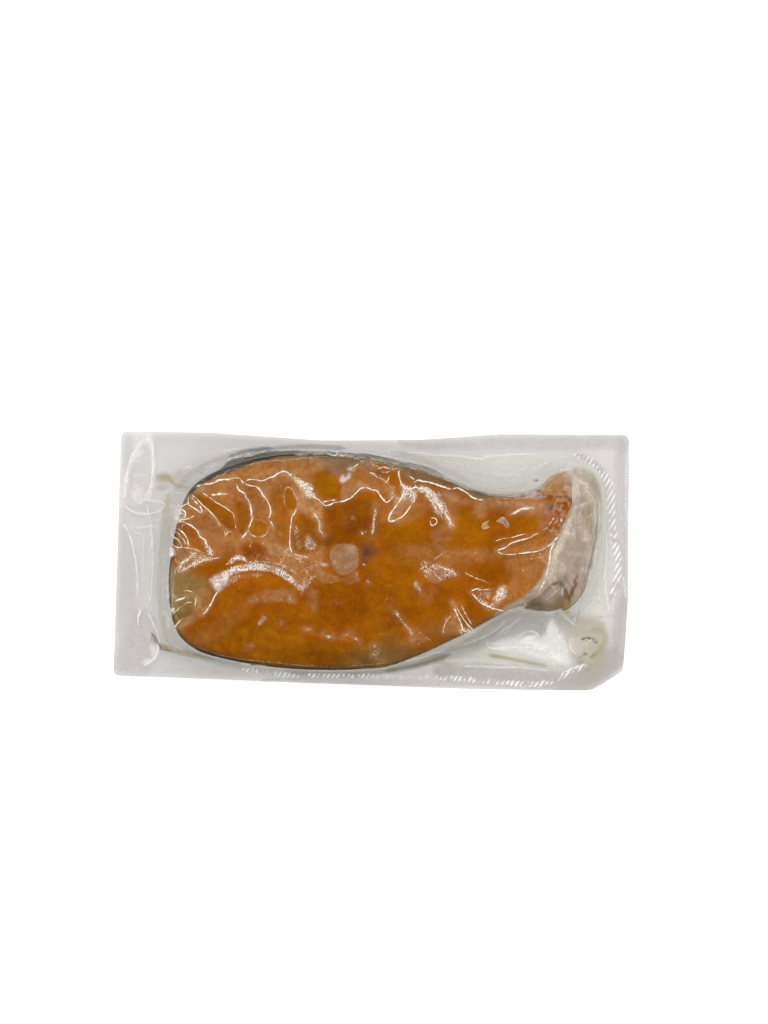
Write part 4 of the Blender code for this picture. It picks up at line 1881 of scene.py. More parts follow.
# Where the film crinkles so finely that it sparkles; the sparkle is painted as pale threads and specks.
SPARKLE = """
# Where the film crinkles so finely that it sparkles.
.92 stroke 2.4 .7 215,582 222,577 232,571 245,567 260,566 273,568 285,574 295,582
.6 stroke 2.2 .8 285,574 295,582 303,589
.42 stroke 1.8 228,586 236,578 250,575 265,574
.85 stroke 1.6 .8 228,564 234,560 238,557 244,558 249,562
.6 stroke 1.6 249,562 262,562 276,563 290,568 303,578
.28 spot 268,538 12,12
.45 spot .9 20 252,543 3,6
.6 spot 281,534 3,3
.37 field 3 268,542 290,545 318,556 326,566 312,586 298,592 290,576 275,562
.24 spot .9 15 276,556 34,16
.58 field 1.6 286,574 296,574 308,578 310,584 304,592 294,586
.66 field 306,536 311,535 316,540 318,546 313,550 307,549 305,543
.55 field 1.2 295,523 299,524 300,536 303,546 298,550 295,540
.25 field 1.6 310,550 324,550 327,558 322,564 312,560
.4 spot .8 292,598 5,5
.36 stroke 1.6 .8 345,478 352,472 362,466 378,468 392,470 398,472
.45 stroke 1.6 .8 370,474 382,479 390,486
.95 field .9 298,480 306,482 314,487 312,494 304,492
.6 stroke 1 .8 284,473 292,477 300,484
.5 spot .6 -20 392,492 4,8
.7 field 1.2 401,487 410,486 414,495 409,498 402,497
.9 stroke 2 .6 418,488 427,491 434,497 439,505 443,513
.55 stroke 1.7 438,492 442,502 448,514 452,525
.6 field 1.8 422,563 432,562 446,565 456,571 448,577 438,583 426,578
.6 stroke 1.2 473,594 479,600 487,606 496,609
.25 spot 434,588 8,8
.95 field 498,586 505,588 503,595 496,603 490,604 493,597
.28 field 1.2 472,590 500,588 500,607 486,604
.32 spot 512,592 8,12
.25 spot 526,568 26,26
.2 field 490,500 520,503 532,505 520,508 500,507
.75 stroke 1 .8 509,515 515,512 522,509 529,507 533,508
.8 spot .8 10 525,508 6,3
.32 spot .9 -30 455,615 9,14
.6 field .9 458,629 470,628 476,632 470,636 460,634
.4 spot .6 447,619 5,8
.32 field 1.6 412,628 418,628 426,636 430,640 418,643 411,645 408,640
.38 spot 374,652 6,7
.26 spot 283,622 8,6
.34 spot 252,644 5,3
.26 spot 335,602 9,4
.7 field 175,508 184,508 188,516 184,522 176,521
.45 field .9 183,560 195,556 213,550 216,557 204,561 190,567 183,568
.6 field .8 206,540 211,543 216,554 211,555 207,549
.8 field .8 170,547 176,547 177,555 171,556
.4 spot 170,620 4,12
.17 spot 350,520 12,12
.27 spot 474,552 20,6
.28 spot 368,582 6,8
.65 field 1.6 522,640 535,638 545,642 552,650 530,652 518,650
.5 spot .9 30 556,654 12,8
.35 spot 590,645 10,10
.45 spot 250,670 14,4
.5 stroke 1 549,566 547,576 541,586
.3 spot 558,520 4,12
.42 stroke 2.4 392,457 408,461 424,466 440,474 455,480
.45 stroke 1.8 205,468 222,461 240,456 262,452 285,450 315,450 345,452
"""

KNURLS = """
# Where the hatch is pressed into the weld.
1 stroke 2.2 .5 574,453 580,455 590,460 600,469 608,479 612,490 612,505 613,525 616,545 619,562 619,578
  615,590 611,604
1 stroke 2 .7 240,669 262,673 285,676 300,678
1 stroke 1.5 .6 305,676 350,677 400,678 450,679 500,683 530,685 552,682 570,673 586,666
"""


@dataclass
class Film:
    """The clear film: over the steak, out along the rim, round its edge and back under."""

    finish: Material
    stations: tuple[int, int, int] = (244, 250, 158)
    crown_rings: int = 112
    tent_rings: int = 30
    rim_rings: int = 46
    under_rings: int = 12
    under_gap: float = 0.55 * MM
    base_lift: float = 0.12 * MM
    rim_mottle: float = 0.2
    veil_spread: float = 0.45 * MM
    frost_spread: float = 0.2 * MM
    frost_haze: float = 0.16
    hatch_heights: tuple[float, float] = (4.0 * MM, 2.6 * MM)

    def __post_init__(self) -> None:
        """Lays out the rays."""
        self.u = FORM.stations(*self.stations)
        self.to_steak, self.to_edge = FORM.to_steak(self.u), FORM.to_edge(self.u)
        self.to_foot = self.to_steak + FORM.tent_width(self.u)

    def marks(self, x: Array, y: Array) -> dict[str, Array]:
        """The film's haze and its blotches, its sparkle and pressed hatch.

        Args:
            x, y: Flat arrays of places.

        Returns:
            The values for each place, by the attribute's name.
        """
        paint = Paint(x, y, Hue.VEIL.value, 0.0)
        paint.lay_all(VEILS)
        for clearing in read_touches(CLEARINGS):
            paint.amount *= 1.0 - clearing.strength(x, y)
        paint.lay(FILM_FORM.beside(x, y, "veil", self.veil_spread), Hue.VEIL.value)
        paint.lay_all(HAZES)
        frost = np.maximum(FILM_FORM.beside(x, y, "frost", self.frost_spread), strongest(SPARKLE, x, y))
        paint.lay(self.frost_haze * np.clip(frost, 0.0, 1.0) ** 2, Hue.CREAM.value)
        knurl = strongest(KNURLS, x, y) * between(*self.hatch_heights, FORM.film(x, y))
        u, distance = FORM.ray_of(x, y)
        outside = between(-1.0 * MM, 1.0 * MM, distance - FORM.to_steak(u))
        mottle = 1.0 - (1.0 - self.rim_mottle) * outside
        return {"cover": paint.values(), "mottle": mottle, "frost": frost, "knurl": knurl}

    def build(self) -> None:
        """Makes the film over the steak."""
        rings = np.linspace(0.0, 1.0, self.crown_rings)[:, None] * self.to_steak
        x, y = FORM.net(self.u, rings)
        places = (x, y, FILM_FORM.height(x, y))
        faces = net_faces(*rings.shape)
        new_piece("film_over_steak", self.finish, places, faces, self.marks(x, y), Slot.FILM)

    def build_rim(self) -> None:
        """Makes the tent and the rim: out from the steak's edge, round the pack's edge and back
        under to the line."""
        steps = np.linspace(0.0, 1.0, self.tent_rings + 1)[:-1, None] ** 1.6
        tent = self.to_steak + (self.to_foot - self.to_steak) * steps
        out = np.linspace(0.0, 1.0, self.rim_rings)[:, None]
        rim = self.to_foot + (self.to_edge - self.to_foot) * out
        under = self.to_foot * np.linspace(0.97, 0.0, self.under_rings)[:, None]
        rings = np.vstack((tent, rim, rim[-2::-3], under))
        x, y = FORM.net(self.u, rings)
        z = FILM_FORM.height(x, y)
        split, base = (len(tent) + len(rim)) * self.u.size, -under.size
        beneath = np.maximum(FORM.film(x, y) - self.under_gap, self.base_lift)
        z[split:base] = beneath[split:base]
        z[base:] = self.base_lift
        marks = self.marks(x, y)
        for key in ("frost", "knurl"):
            marks[key][split:] = 0.0
        marks["cover"][split:, 3] = 0.0
        new_piece("film_rim", self.finish, (x, y, z), net_faces(*rings.shape), marks, Slot.FILM)


@dataclass
class FoldCrests:
    """The folds' crests: narrow rounded ribs that stand on the film along every fold."""

    # The ribs' pale crests are mostly painted highlights, and a crease's dark crest painted shade.
    finish: Material
    spacing: float = 0.3 * MM
    profile: tuple[float, ...] = (-1.0, -0.5, 0.0, 0.5, 1.0)
    sunk: float = 0.04 * MM
    lane_gap: float = 1.7 * MM
    fine_stray: float = 0.11 * MM
    broad_stray: float = 0.2 * MM
    stray_cell: float = 1.2 * MM
    fine_cell: float = 1.1 * MM
    medium_cell: float = 3.0 * MM
    broad_cell: float = 4.0 * MM
    rise_share: float = 0.55

    def rib(self, fold: Fold, seed: int) -> tuple[Array, Array, Array, Array]:
        """One fold's rib before it is lifted onto the film.

        The rib strays sideways a little, its half width and strength waver along it and die away
        at its ends. Across it, the rise is a rounded roof, 1 - |v| ** 1.6, and the crest's cover
        follows (1 - |v|) ** 0.8.

        Args:
            fold: The fold to follow.
            seed: Picks how it wavers.

        Returns:
            x, y, rise and cover, each a row for every place along the rib.
        """
        look = fold.look
        path = fold.path(self.spacing)
        run = np.gradient(path, axis=0)
        side = np.column_stack((-run[:, 1], run[:, 0])) / np.linalg.norm(run, axis=1)[:, None]
        along = np.arange(len(path)) * self.spacing
        lane = np.full_like(along, seed * self.lane_gap)
        stray = self.fine_stray * lattice_noise(along, lane, self.stray_cell, seed=3)
        stray += self.broad_stray * lattice_noise(along, lane, self.broad_cell, seed=4)
        half = look.half_width * MM
        ends = eased(np.minimum(along, along[-1] - along) / (3.0 * half) + 0.02)
        uneven = 0.1 + 0.25 * min(look.grain, 1.0)
        waver = 0.9 + uneven * rough_noise(along, lane, self.medium_cell, seed=5)
        waver += uneven * lattice_noise(along, lane, self.fine_cell, seed=9)
        width = half * np.clip(waver, 0.4, 1.5) * (0.3 + 0.7 * ends)
        across = np.array(self.profile)
        offset = across[None, :] * width[:, None] + stray[:, None]
        x = path[:, :1] + side[:, :1] * offset
        y = path[:, 1:] + side[:, 1:] * offset
        roof = (1.0 - np.abs(across) ** 1.6)[None, :]
        height = look.rise * MM * self.rise_share * fold.strength * ends * waver
        rise = roof * height[:, None] - self.sunk
        # The crest's painted colour, mostly a highlight, is strongest on the crest and fades to the rib's
        # sides.
        glow = (1.0 - np.abs(across)) ** 0.8
        strength = look.cover * fold.strength * ends * np.clip(waver, 0.3, 1.3)
        cover = glow[None, :] * strength[:, None]
        return x, y, rise, cover

    def build(self) -> None:
        """Makes all the ribs as one piece."""
        blocks, tones, grains, faces, first = [], [], [], [], 0
        for number, fold in enumerate(ALL_FOLDS):
            rib = self.rib(fold, number)
            size = rib[0].size
            blocks.append(np.stack(rib, axis=-1).reshape(-1, 4))
            tones.append(np.tile(fold.look.tone.value, (size, 1)))
            grains.append(np.full(size, fold.look.grain))
            faces.append(net_faces(*rib[0].shape, first, closed=False)[:, ::-1])
            first += size
        x, y, rise, cover = np.concatenate(blocks).T
        crest = np.column_stack((np.concatenate(tones), np.clip(cover, 0.0, 1.3)))
        marks = {"crest": crest, "grain": np.concatenate(grains)}
        places = (x, y, FILM_FORM.height(x, y) + rise)
        new_piece("film_folds", self.finish, places, np.concatenate(faces), marks, Slot.FILM)


# -------- the steak

# The next row is painted shade along the flesh's lower edge, where it rounds down.
# The next row is painted shade along the flesh's lower right edge.
FLESH_TINTS = """
# The flesh's darker and paler parts, and its outline.
.25 pale_amber spot .9 8 255,468 75,13
.85 40,13,.1 field 1.2 196,494 215,502 230,510 237,526 224,524 208,508
.8 38,11.5,.1 field 1.4 240,503 250,506 252,520 244,534 239,520
.8 42,14,.1 field 299,515 307,515 314,521 320,532 322,545 315,552 302,554 295,550 293,538 294,524
.9 yellow_amber spot .4 259,528 9,8
.6 yellow_amber spot .4 -15 291,500 6,11
.85 48,18,.3 spot .5 326,486 14,13
.9 deep_amber field 2.2 326,508 345,502 372,502 380,520 372,540 350,545 332,540
.5 33,8.5,.1 spot 352,524 16,16
.4 50,20,4 spot .5 345,560 19,19
.7 27,7,.1 spot 327,541 9,13
.6 34,9,.1 spot 294,626 22,13
.5 30,17,7 spot 328,463 34,8
.7 yellow_amber spot 405,536 28,14
.5 yellow_amber spot 470,525 28,26
.5 yellow_amber spot .8 525,522 16,9
.7 33,7.5,.2 spot 256,551 14,10
.6 deep_amber spot 335,605 70,30
.7 27,7,.15 spot 392,620 22,22
.5 deep_amber spot 250,592 14,12
.4 yellow_amber spot 420,550 24,16
.35 yellow_amber spot 405,585 30,16
.8 42,13.8,.1 spot 250,636 70,22
.8 28,9.5,.15 spot 315,655 90,14
.8 red_amber spot .9 -40 195,530 20,12
.7 40,13,.1 spot .9 6 212,566 30,6
.5 red_amber spot 550,520 14,16
.9 flank_fat field 4 168,568 188,571 204,578 212,584 204,592 204,604 194,614 184,628 174,630 169,600
.4 30,20,7 stroke 2 176,576 184,578 196,576
.45 28,18,4 field 1.2 184,600 196,601 198,607 190,614 180,622 177,618
.6 30,19,8 spot 182,553 8,10
.6 30,20,4 spot 183,540 7,7
.7 38,24,7 spot .9 20 203,488 10,4
.85 olive_fat field 1.6 300,455 325,454 360,457 385,461 410,468 440,477 462,485 480,491 500,496 480,500
  455,488 425,483 412,484 402,474 385,467 360,462 345,464 330,461
.75 22,13,6 spot .9 10 345,467 24,8
.6 32,12,2 spot .9 20 376,478 16,9
.6 26,8.5,.6 spot .9 -20 438,628 20,13
# The flesh greys towards its outline.
.4 24,23,15 stroke 3.4 .95 174,545 178,522 184,506 193,492 206,481 224,470 246,462 272,458 300,457
.5 30,17,6 stroke 2 320,470 330,466 345,470
.85 brown_fat field 5 340,668 350,656 372,646 392,638 405,644 425,648 445,642 470,628 485,622 470,642
  440,656 405,668 370,674
.85 15,9,2.5 stroke 3.2 .95 176,628 186,641 205,650 250,662 300,667 350,668
.75 72,60,40 stroke 2.6 170,556 170,575 172,590 174,606
.6 26,20,13 stroke 1.7 183,508 187,496 196,484 210,474 230,465 250,459 275,456 300,456 330,457
.45 yellow_amber spot 225,628 14,11
.4 52,25,7 spot .9 -40 196,603 8,7
.9 74,60,44 spot 568,478 11,9
.8 62,36,17 field 540,488 548,476 560,470 568,474 566,486 556,490 546,492
.7 24,16,7 stroke 3.2 .95 405,663 440,648 470,634 500,614
.85 blood field 2.2 361,545 368,543 374,548 377,552 370,559 365,562 361,556
.6 14,5.5,4.5 spot .9 -20 366,552 4,5
.5 24,9,2 stroke 2 368,549 378,550 388,547
.95 22,6,1.2 field .6 544,504 551,502 554,506 549,511 545,509
.4 30,9,1.2 field 545,495 570,493 572,500 560,502 548,499
.45 62,25,2 spot 402,560 22,9
1 lining_pale field .9 556,458 620,460 620,620 548,640 496,618 507,605 521,598 530,590 540,580 547,563
  554,543 563,523 570,508 573,495 570,482 562,471
.7 80,66,50 stroke 1.6 573,506 566,525 557,545 550,563 542,580 533,589
.9 56,54,46 field 1.6 604,500 625,500 625,625 560,640 574,608 588,586 597,556 603,530
"""

# The skin's bands: side, amount, where it starts and is whole in millimetres, and colour.
SKIN_BANDS = """
upper .8 -36 -14 9,8.5,7.8
upper .8 0 14 30,29,26
upper .9 14 30 56,54,48
upper .75 -50 -60 8.5,8,7.4
lower .7 -52 -40 11,9,5
lower .85 -14 8 30,23,13
lower .9 20 32 50,42,29
both 1 50 60 70,69,64
patches .7 -60 -72 40,37,30
"""


@dataclass(frozen=True)
class MuscleArcs:
    """Fine pale arcs between the flesh's muscle layers, round a middle in photograph pixels."""

    middle: tuple[float, float] = (350.0, 575.0)
    pitch: float = 8.0
    stretch: float = 1.6
    seed: int = 21

    def lines(self, x: Array, y: Array) -> Array:
        """Works out the arcs: a sharpened wave of the warped distance from the middle.

        Args:
            x, y: Flat arrays of places.

        Returns:
            1 on an arc and 0 between arcs.
        """
        centre = PHOTO.place(self.middle)
        warp = 2.2 * MM * rough_noise(x, y, 14.0 * MM, self.seed)
        radius = np.hypot(x - centre[0], (y - centre[1]) * self.stretch) + warp
        return between(0.5, 1.0, 0.5 + 0.5 * np.cos(TAU * radius / (self.pitch * MM)))


@dataclass(frozen=True)
class EdgeProfile:
    """A size along the steak's upper edge, which noise makes ragged.

    It is the base and, on the upper side, a width in millimetres for each place across the pack,
    also in millimetres.
    """

    base: float
    roughness: float
    cell: float
    seed: int
    places: tuple[float, ...]
    widths: tuple[float, ...]

    def size(self, u: Array) -> Array:
        """Works out the size.

        Args:
            u: Places round the pack.

        Returns:
            The size at each of them, in metres.
        """
        x, y = FORM.at(u, FORM.to_steak(u))
        ragged = 1.0 + self.roughness * rough_noise(u, u * 0.0, self.cell, self.seed)
        width = np.interp(x / MM, self.places, self.widths) * MM
        return self.base + between(4.0 * MM, 26.0 * MM, y) * ragged * width


@dataclass
class Steak:
    """The steak's flesh and the skin round it.

    inset is how far in from the steak's edge the flesh ends and the skin shows on top, and lean
    how far the oblique cut lets the skin lean out past that edge.
    """

    flesh: Material
    skin: Material
    film_gap: float = 0.34 * MM
    flesh_drop: float = 0.9 * MM
    flesh_edge: float = 0.2 * MM
    flesh_bulge: float = 0.3 * MM
    flesh_base: float = 0.4 * MM
    flesh_lowest: float = 0.3 * MM
    unevenness: float = 0.06 * MM
    wall_gap: float = 0.25 * MM
    skin_thickness: float = 1.15 * MM
    stations: tuple[int, int, int] = (122, 126, 80)
    flesh_rings: int = 54
    under_rings: int = 22
    side_steps: tuple[float, ...] = (0.06, 0.2, 0.4, 0.6, 0.8, 0.94)
    lip_shares: tuple[float, ...] = (1.0, 0.75, 0.5, 0.25)
    skin_steps: tuple[float, ...] = (0.0, 0.03, 0.08, 0.16, 0.28, 0.42, 0.58, 0.74, 0.88, 0.97)
    inset: EdgeProfile = EdgeProfile(
        0.28 * MM, 0.5, 3.0 * MM, 31,
        (-76.0, -70.0, -62.0, -56.0, -48.0, -38.0),
        (0.3, 1.1, 1.7, 1.6, 1.1, 0.3),
    )
    lean: EdgeProfile = EdgeProfile(
        0.15 * MM, 0.3, 5.0 * MM, 33,
        (-80.0, -62.0, -56.0, -44.0, -34.0, -24.0, 10.0, 26.0, 44.0),
        (0.3, 0.6, 2.2, 2.3, 1.5, 0.8, 0.7, 1.2, 0.3),
    )
    arcs: MuscleArcs = MuscleArcs()

    def wall(self, u: Array, steps: Sequence[float]) -> Array:
        """The side's distance past the steak's edge.

        It swells by the lean, but stays the wall gap inside the film, whose own distance at that
        height is tent width * (1 - (height / edge height) ** (1 / steepness)).

        Args:
            u: Places round the pack.
            steps: How far down the side, from 0 at the top to 1 below.

        Returns:
            A row of distances for each step.
        """
        down = np.array(steps)[:, None]
        film = FORM.tent_width(u) * (1.0 - (1.0 - down) ** (1.0 / FORM.tent_steepness))
        bulge = self.lean.size(u) * np.sin(0.5 * math.pi * np.minimum(1.0, 1.35 * down))
        return np.minimum(bulge, np.maximum(film - self.wall_gap, -0.2 * MM))

    def edge_height(self, u: Array, sunk: float) -> Array:
        """How high the steak's upper edge is at each ray, sunk under the film."""
        return FORM.crown(*FORM.at(u, FORM.to_steak(u)), 0.0 * u) - sunk

    def build_flesh(self) -> None:
        """Makes the flesh: over the top, round the edge, down the side and back underneath."""
        u = FORM.stations(*self.stations)
        to_steak = FORM.to_steak(u)
        to_rim = to_steak - self.inset.size(u) - self.flesh_edge
        share = np.linspace(0.0, 1.0, self.flesh_rings)[:, None]
        top = to_rim * share
        top_z = FORM.crown(*FORM.at(u, top), to_steak - top) - self.film_gap
        top_z -= self.flesh_drop * share**14
        side = to_rim + np.minimum(self.wall(u, self.side_steps), self.flesh_bulge)
        side_z = self.edge_height(u, 1.2 * MM) * (1.0 - np.array(self.side_steps)[:, None])
        under = to_rim * np.linspace(0.985, 0.0, self.under_rings)[:, None]
        rings = np.vstack((top, side, under))
        x, y = FORM.net(u, rings)
        z = np.vstack((top_z, side_z, np.full_like(under, self.flesh_base))).ravel()
        z = np.maximum(z + self.unevenness * rough_noise(x, y, 4.0 * MM, seed=5), self.flesh_lowest)
        arcs = self.arcs.lines(x, y) * between(-8.0 * MM, -20.0 * MM, y)
        arcs *= 0.5 + 0.5 * lattice_noise(x, y, 16.0 * MM, seed=8)
        paint = Paint(x, y, Hue.AMBER.value)
        paint.lay_all(FLESH_TINTS)
        marks = {"tint": paint.values(), "arcs": arcs}
        new_piece("flesh", self.flesh, (x, y, z), net_faces(*rings.shape), marks, Slot.FLESH)

    def build_skin(self) -> None:
        """Makes the skin: a closed band from the top edge down the side and in below.

        On top it reaches in as far as the flesh leaves it bare, just under the flesh's level.
        """
        u = FORM.stations(*(3 * n // 2 for n in self.stations))
        to_steak = FORM.to_steak(u)
        share = np.array(self.lip_shares)[:, None]
        from_edge = self.wall_gap + (self.inset.size(u) + 0.35 * MM - self.wall_gap) * share
        lip = to_steak - from_edge
        sunk = self.film_gap + 0.15 * MM + 0.3 * MM * (1.0 - share)
        lip_z = FORM.crown(*FORM.at(u, lip), from_edge) - sunk
        wall = self.wall(u, self.skin_steps)
        outer = to_steak - self.wall_gap + wall
        inner = to_steak - (self.wall_gap + self.skin_thickness) + wall
        side_z = self.edge_height(u, 0.75 * MM) * (1.0 - np.array(self.skin_steps)[:, None])
        base = to_steak - np.array(((0.4,), (1.6,))) * MM + self.wall(u, (1.0,))
        rings = np.vstack((lip, outer, base, inner[:1:-1], lip[:1]))
        heights = (lip_z, side_z, np.full_like(base, 0.25 * MM), side_z[:1:-1], lip_z[:1])
        x, y = FORM.net(u, rings)
        places = (x, y, np.vstack(heights).ravel())
        marks = {"tint": self.skin_tints(x, y)}
        new_piece("skin", self.skin, places, net_faces(*rings.shape), marks, Slot.SKIN)

    def skin_tints(self, x: Array, y: Array) -> Array:
        """The skin's colour: nearly black on the back, grey and then silver towards the belly.

        Args:
            x, y: Flat arrays of places.

        Returns:
            Rows of red, green, blue and cover.
        """
        upper = between(0.0, 10.0 * MM, y)
        pale = between(0.1, 0.7, rough_noise(x, y, 9.0 * MM, seed=37))
        sides = {"upper": upper, "lower": 1.0 - upper, "both": 1.0, "patches": pale}
        paint = Paint(x, y, (0.022, 0.02, 0.02))
        for side, amount, low, high, colour in rows_of(SKIN_BANDS):
            shown = between(float(low) * MM, float(high) * MM, x)
            paint.lay(float(amount) * sides[side] * shown, colour_of(colour))
        return paint.values()


@dataclass(frozen=True)
class Lobe:
    """A soft lobe that lies on the steak: the closed route of its outline, raised in the middle.

    thickness is how far its middle stands over the flesh and drop how far its outline sinks
    under it, in millimetres. round is the power of its profile: a high one is flat on top with
    steep sides. tints is a table of marks.
    """

    name: str
    slot: Slot
    colour: Colour
    route: str
    tints: str
    thickness: float = 0.2
    round: float = 4.0
    wrinkle: float = 0.15
    seed: int = 1
    rings: int = 26
    rays: int = 110
    drop: float = 0.25
    lowest: float = 0.35 * MM

    def build(self, finish: Material, film_gap: float) -> None:
        """Makes the lobe as a closed dome: top rings out to the outline and back underneath.

        The top's height over the flesh is thickness * (1 - share ** round), less the drop at the
        outline, and the underside is level with the drop.

        Args:
            finish: Its material.
            film_gap: How far the flesh lies under the film.
        """
        outline = smooth_path(PHOTO.route(self.route), 16, closed=True)
        middle = outline.mean(axis=0)
        turn = np.linspace(0.0, TAU, self.rays, endpoint=False)
        headings = np.column_stack((np.cos(turn), np.sin(turn)))
        edge = reach(np.tile(middle, (self.rays, 1)), headings, outline)
        top = np.linspace(0.0, 1.0, self.rings)
        shares = np.concatenate((top, top[-2::-4]))
        if shares[-1] > 0.0:
            shares = np.append(shares, 0.0)
        x, y = ((middle[k] + headings[:, k] * edge * shares[:, None]).ravel() for k in range(2))
        share = np.repeat(shares, self.rays)
        above = np.arange(x.size) < self.rings * self.rays
        crown = FORM.film(x, y) - film_gap
        dome = self.thickness * MM * (1.0 - share**self.round)
        dome += self.wrinkle * MM * rough_noise(x, y, 3.0 * MM, self.seed) * (1.0 - share**2)
        drop = self.drop * MM
        z = np.where(above, crown + dome - drop * share**6, crown - drop)
        paint = Paint(x, y, self.colour)
        paint.lay_all(self.tints)
        faces = net_faces(shares.size, self.rays)
        places = (x, y, np.maximum(z, self.lowest))
        new_piece(self.name, finish, places, faces, {"tint": paint.values()}, self.slot)


LOBES = (
    Lobe(
        "backbone", Slot.BONE, (0.46, 0.22, 0.085),
        "329,559 330,551 334,546 339,543 345,542 352,543 357,545 360,551 360,562 357,569 350,575"
        " 344,576 337,573 332,567",
        """
        .7 42,19,7 spot 344,560 10,11
        .7 54,33,17 spot 354,550 6,7
        .7 72,46,26 spot 335,561 2,2.5
        .6 60,38,22 spot 346,566 1.5,1.5
        .3 40,18,6 spot 345,571 10,4
        .5 58,34,18 stroke 1.1 330,553 329,559 332,567 337,573 344,576 350,575 357,569 360,562
        """,
        thickness=0.16, round=8.0, wrinkle=0.03, seed=3, drop=0.12,
    ),
    Lobe(
        "belly_lining", Slot.LINING, (0.62, 0.51, 0.4),
        "568,477 576,470 587,468 596,476 602,490 603,512 600,535 595,556 589,576 583,592 572,606"
        " 558,608 548,602 545,586 548,564 556,541 565,522 572,505",
        """
        .85 74,67,56 spot 580,484 22,16
        .85 82,70,57 stroke 2.2 574,505 567,526 557,550 550,568
        .8 20,12,5.5 spot .9 20 562,581 12,8
        .75 60,49,40 spot .9 -12 580,545 12,34
        .75 52,40,30 spot 567,566 14,10
        .6 52,43,27 spot 586,512 7,9
        .5 46,40,30 stroke 1.5 590,515 592,540 588,570 582,592
        .85 68,64,55 spot 600,520 6,44
        .9 16,5.5,2 stroke 1 577,576 573,586 570,597
        .6 36,23,9 spot 565,600 8,9
        """,
        thickness=0.25, round=2.5, wrinkle=0.08, seed=6, drop=0.12,
    ),
    Lobe(
        "folded_flap", Slot.FLESH, (0.54, 0.27, 0.1),
        "540,491 543,484 548,478 555,474 563,472 569,475 573,482 575,489 576,497 575,505 563,505"
        " 552,501 545,497",
        """
        .9 66,40,20 spot .9 20 556,479 15,8
        .8 72,56,40 stroke 1.8 541,491 544,483 552,476 562,472
        .5 50,22,7 spot 563,491 7,4
        .85 30,9.5,1.5 stroke 1.1 544,495 552,497 562,497 572,498
        .8 20,7,1.5 spot .7 570,500 3,3
        .7 30,20,12 spot .8 539,493 5,3
        """,
        thickness=0.18, round=3.0, wrinkle=0.05, seed=9, drop=0.15,
    ),
    Lobe(
        "gristle", Slot.LINING, (0.34, 0.24, 0.13),
        "524,608 531,600 538,594 545,586 552,582 560,579 566,583 571,588 573,598 570,608 558,611"
        " 542,611",
        # The next row is a painted highlight across the gristle.
        """
        .85 43,36,28 field 3 539,597 545,590 551,586 556,589 557,597 551,603 545,603 540,601
        .6 42,27,20 spot .8 30 557,594 3,4
        .7 66,60,53 stroke .6 546,599 552,594 560,587
        .7 24,17,10 spot 533,604 6,4
        .8 30,19,7 stroke 1.7 552,582 560,580 566,585 569,592
        .8 24,10,3 stroke .9 571,586 569,594 569,600
        .7 34,24,10 spot 558,606 11,3
        .7 50,40,18 spot 569,606 4,4
        """,
        thickness=0.17, round=3.5, wrinkle=0.16, seed=12,
    ),
    Lobe(
        "fat_fleck_upper", Slot.LINING, (0.66, 0.36, 0.18),
        "480,527 482,523 485,521 489,520 487,524 490,527 486,529 482,530",
        # The next row is a painted highlight along the fleck's upper left edge.
        """
        .9 95,84,74 stroke .4 .8 481,526 484,522 488,520
        .8 95,80,66 stroke .4 .8 484,528 488,528
        """,
        seed=14, rings=12, rays=48,
    ),
    Lobe(
        "fat_fleck_lower", Slot.LINING, (0.62, 0.42, 0.3),
        "494,521 498,518 502,516 506,519 509,525 509,528 505,528 502,524 498,523",
        # The next row is a painted highlight along the fleck's upper edge.
        """
        .9 96,90,84 stroke .45 .8 494,521 498,518 502,517 506,519
        .8 95,86,80 stroke .4 .8 506,520 509,526
        .8 30,20,17 stroke .45 .8 503,520 506,525 508,527
        """,
        seed=15, rings=12, rays=48,
    ),
)

# The trails of crumbs: how many, how far they stray in millimetres, and the route.
CRUMB_TRAILS = """
16 .35 583,640 590,638 595,640 598,645
6 .5 587,655 583,657 581,664 588,670
4 .5 593,676 598,669 602,662
3 .4 565,667 560,668 555,670
3 .2 534,480 538,481
4 .3 252,663 266,662
2 .5 200,471 192,478
4 .5 161,650 172,652
"""


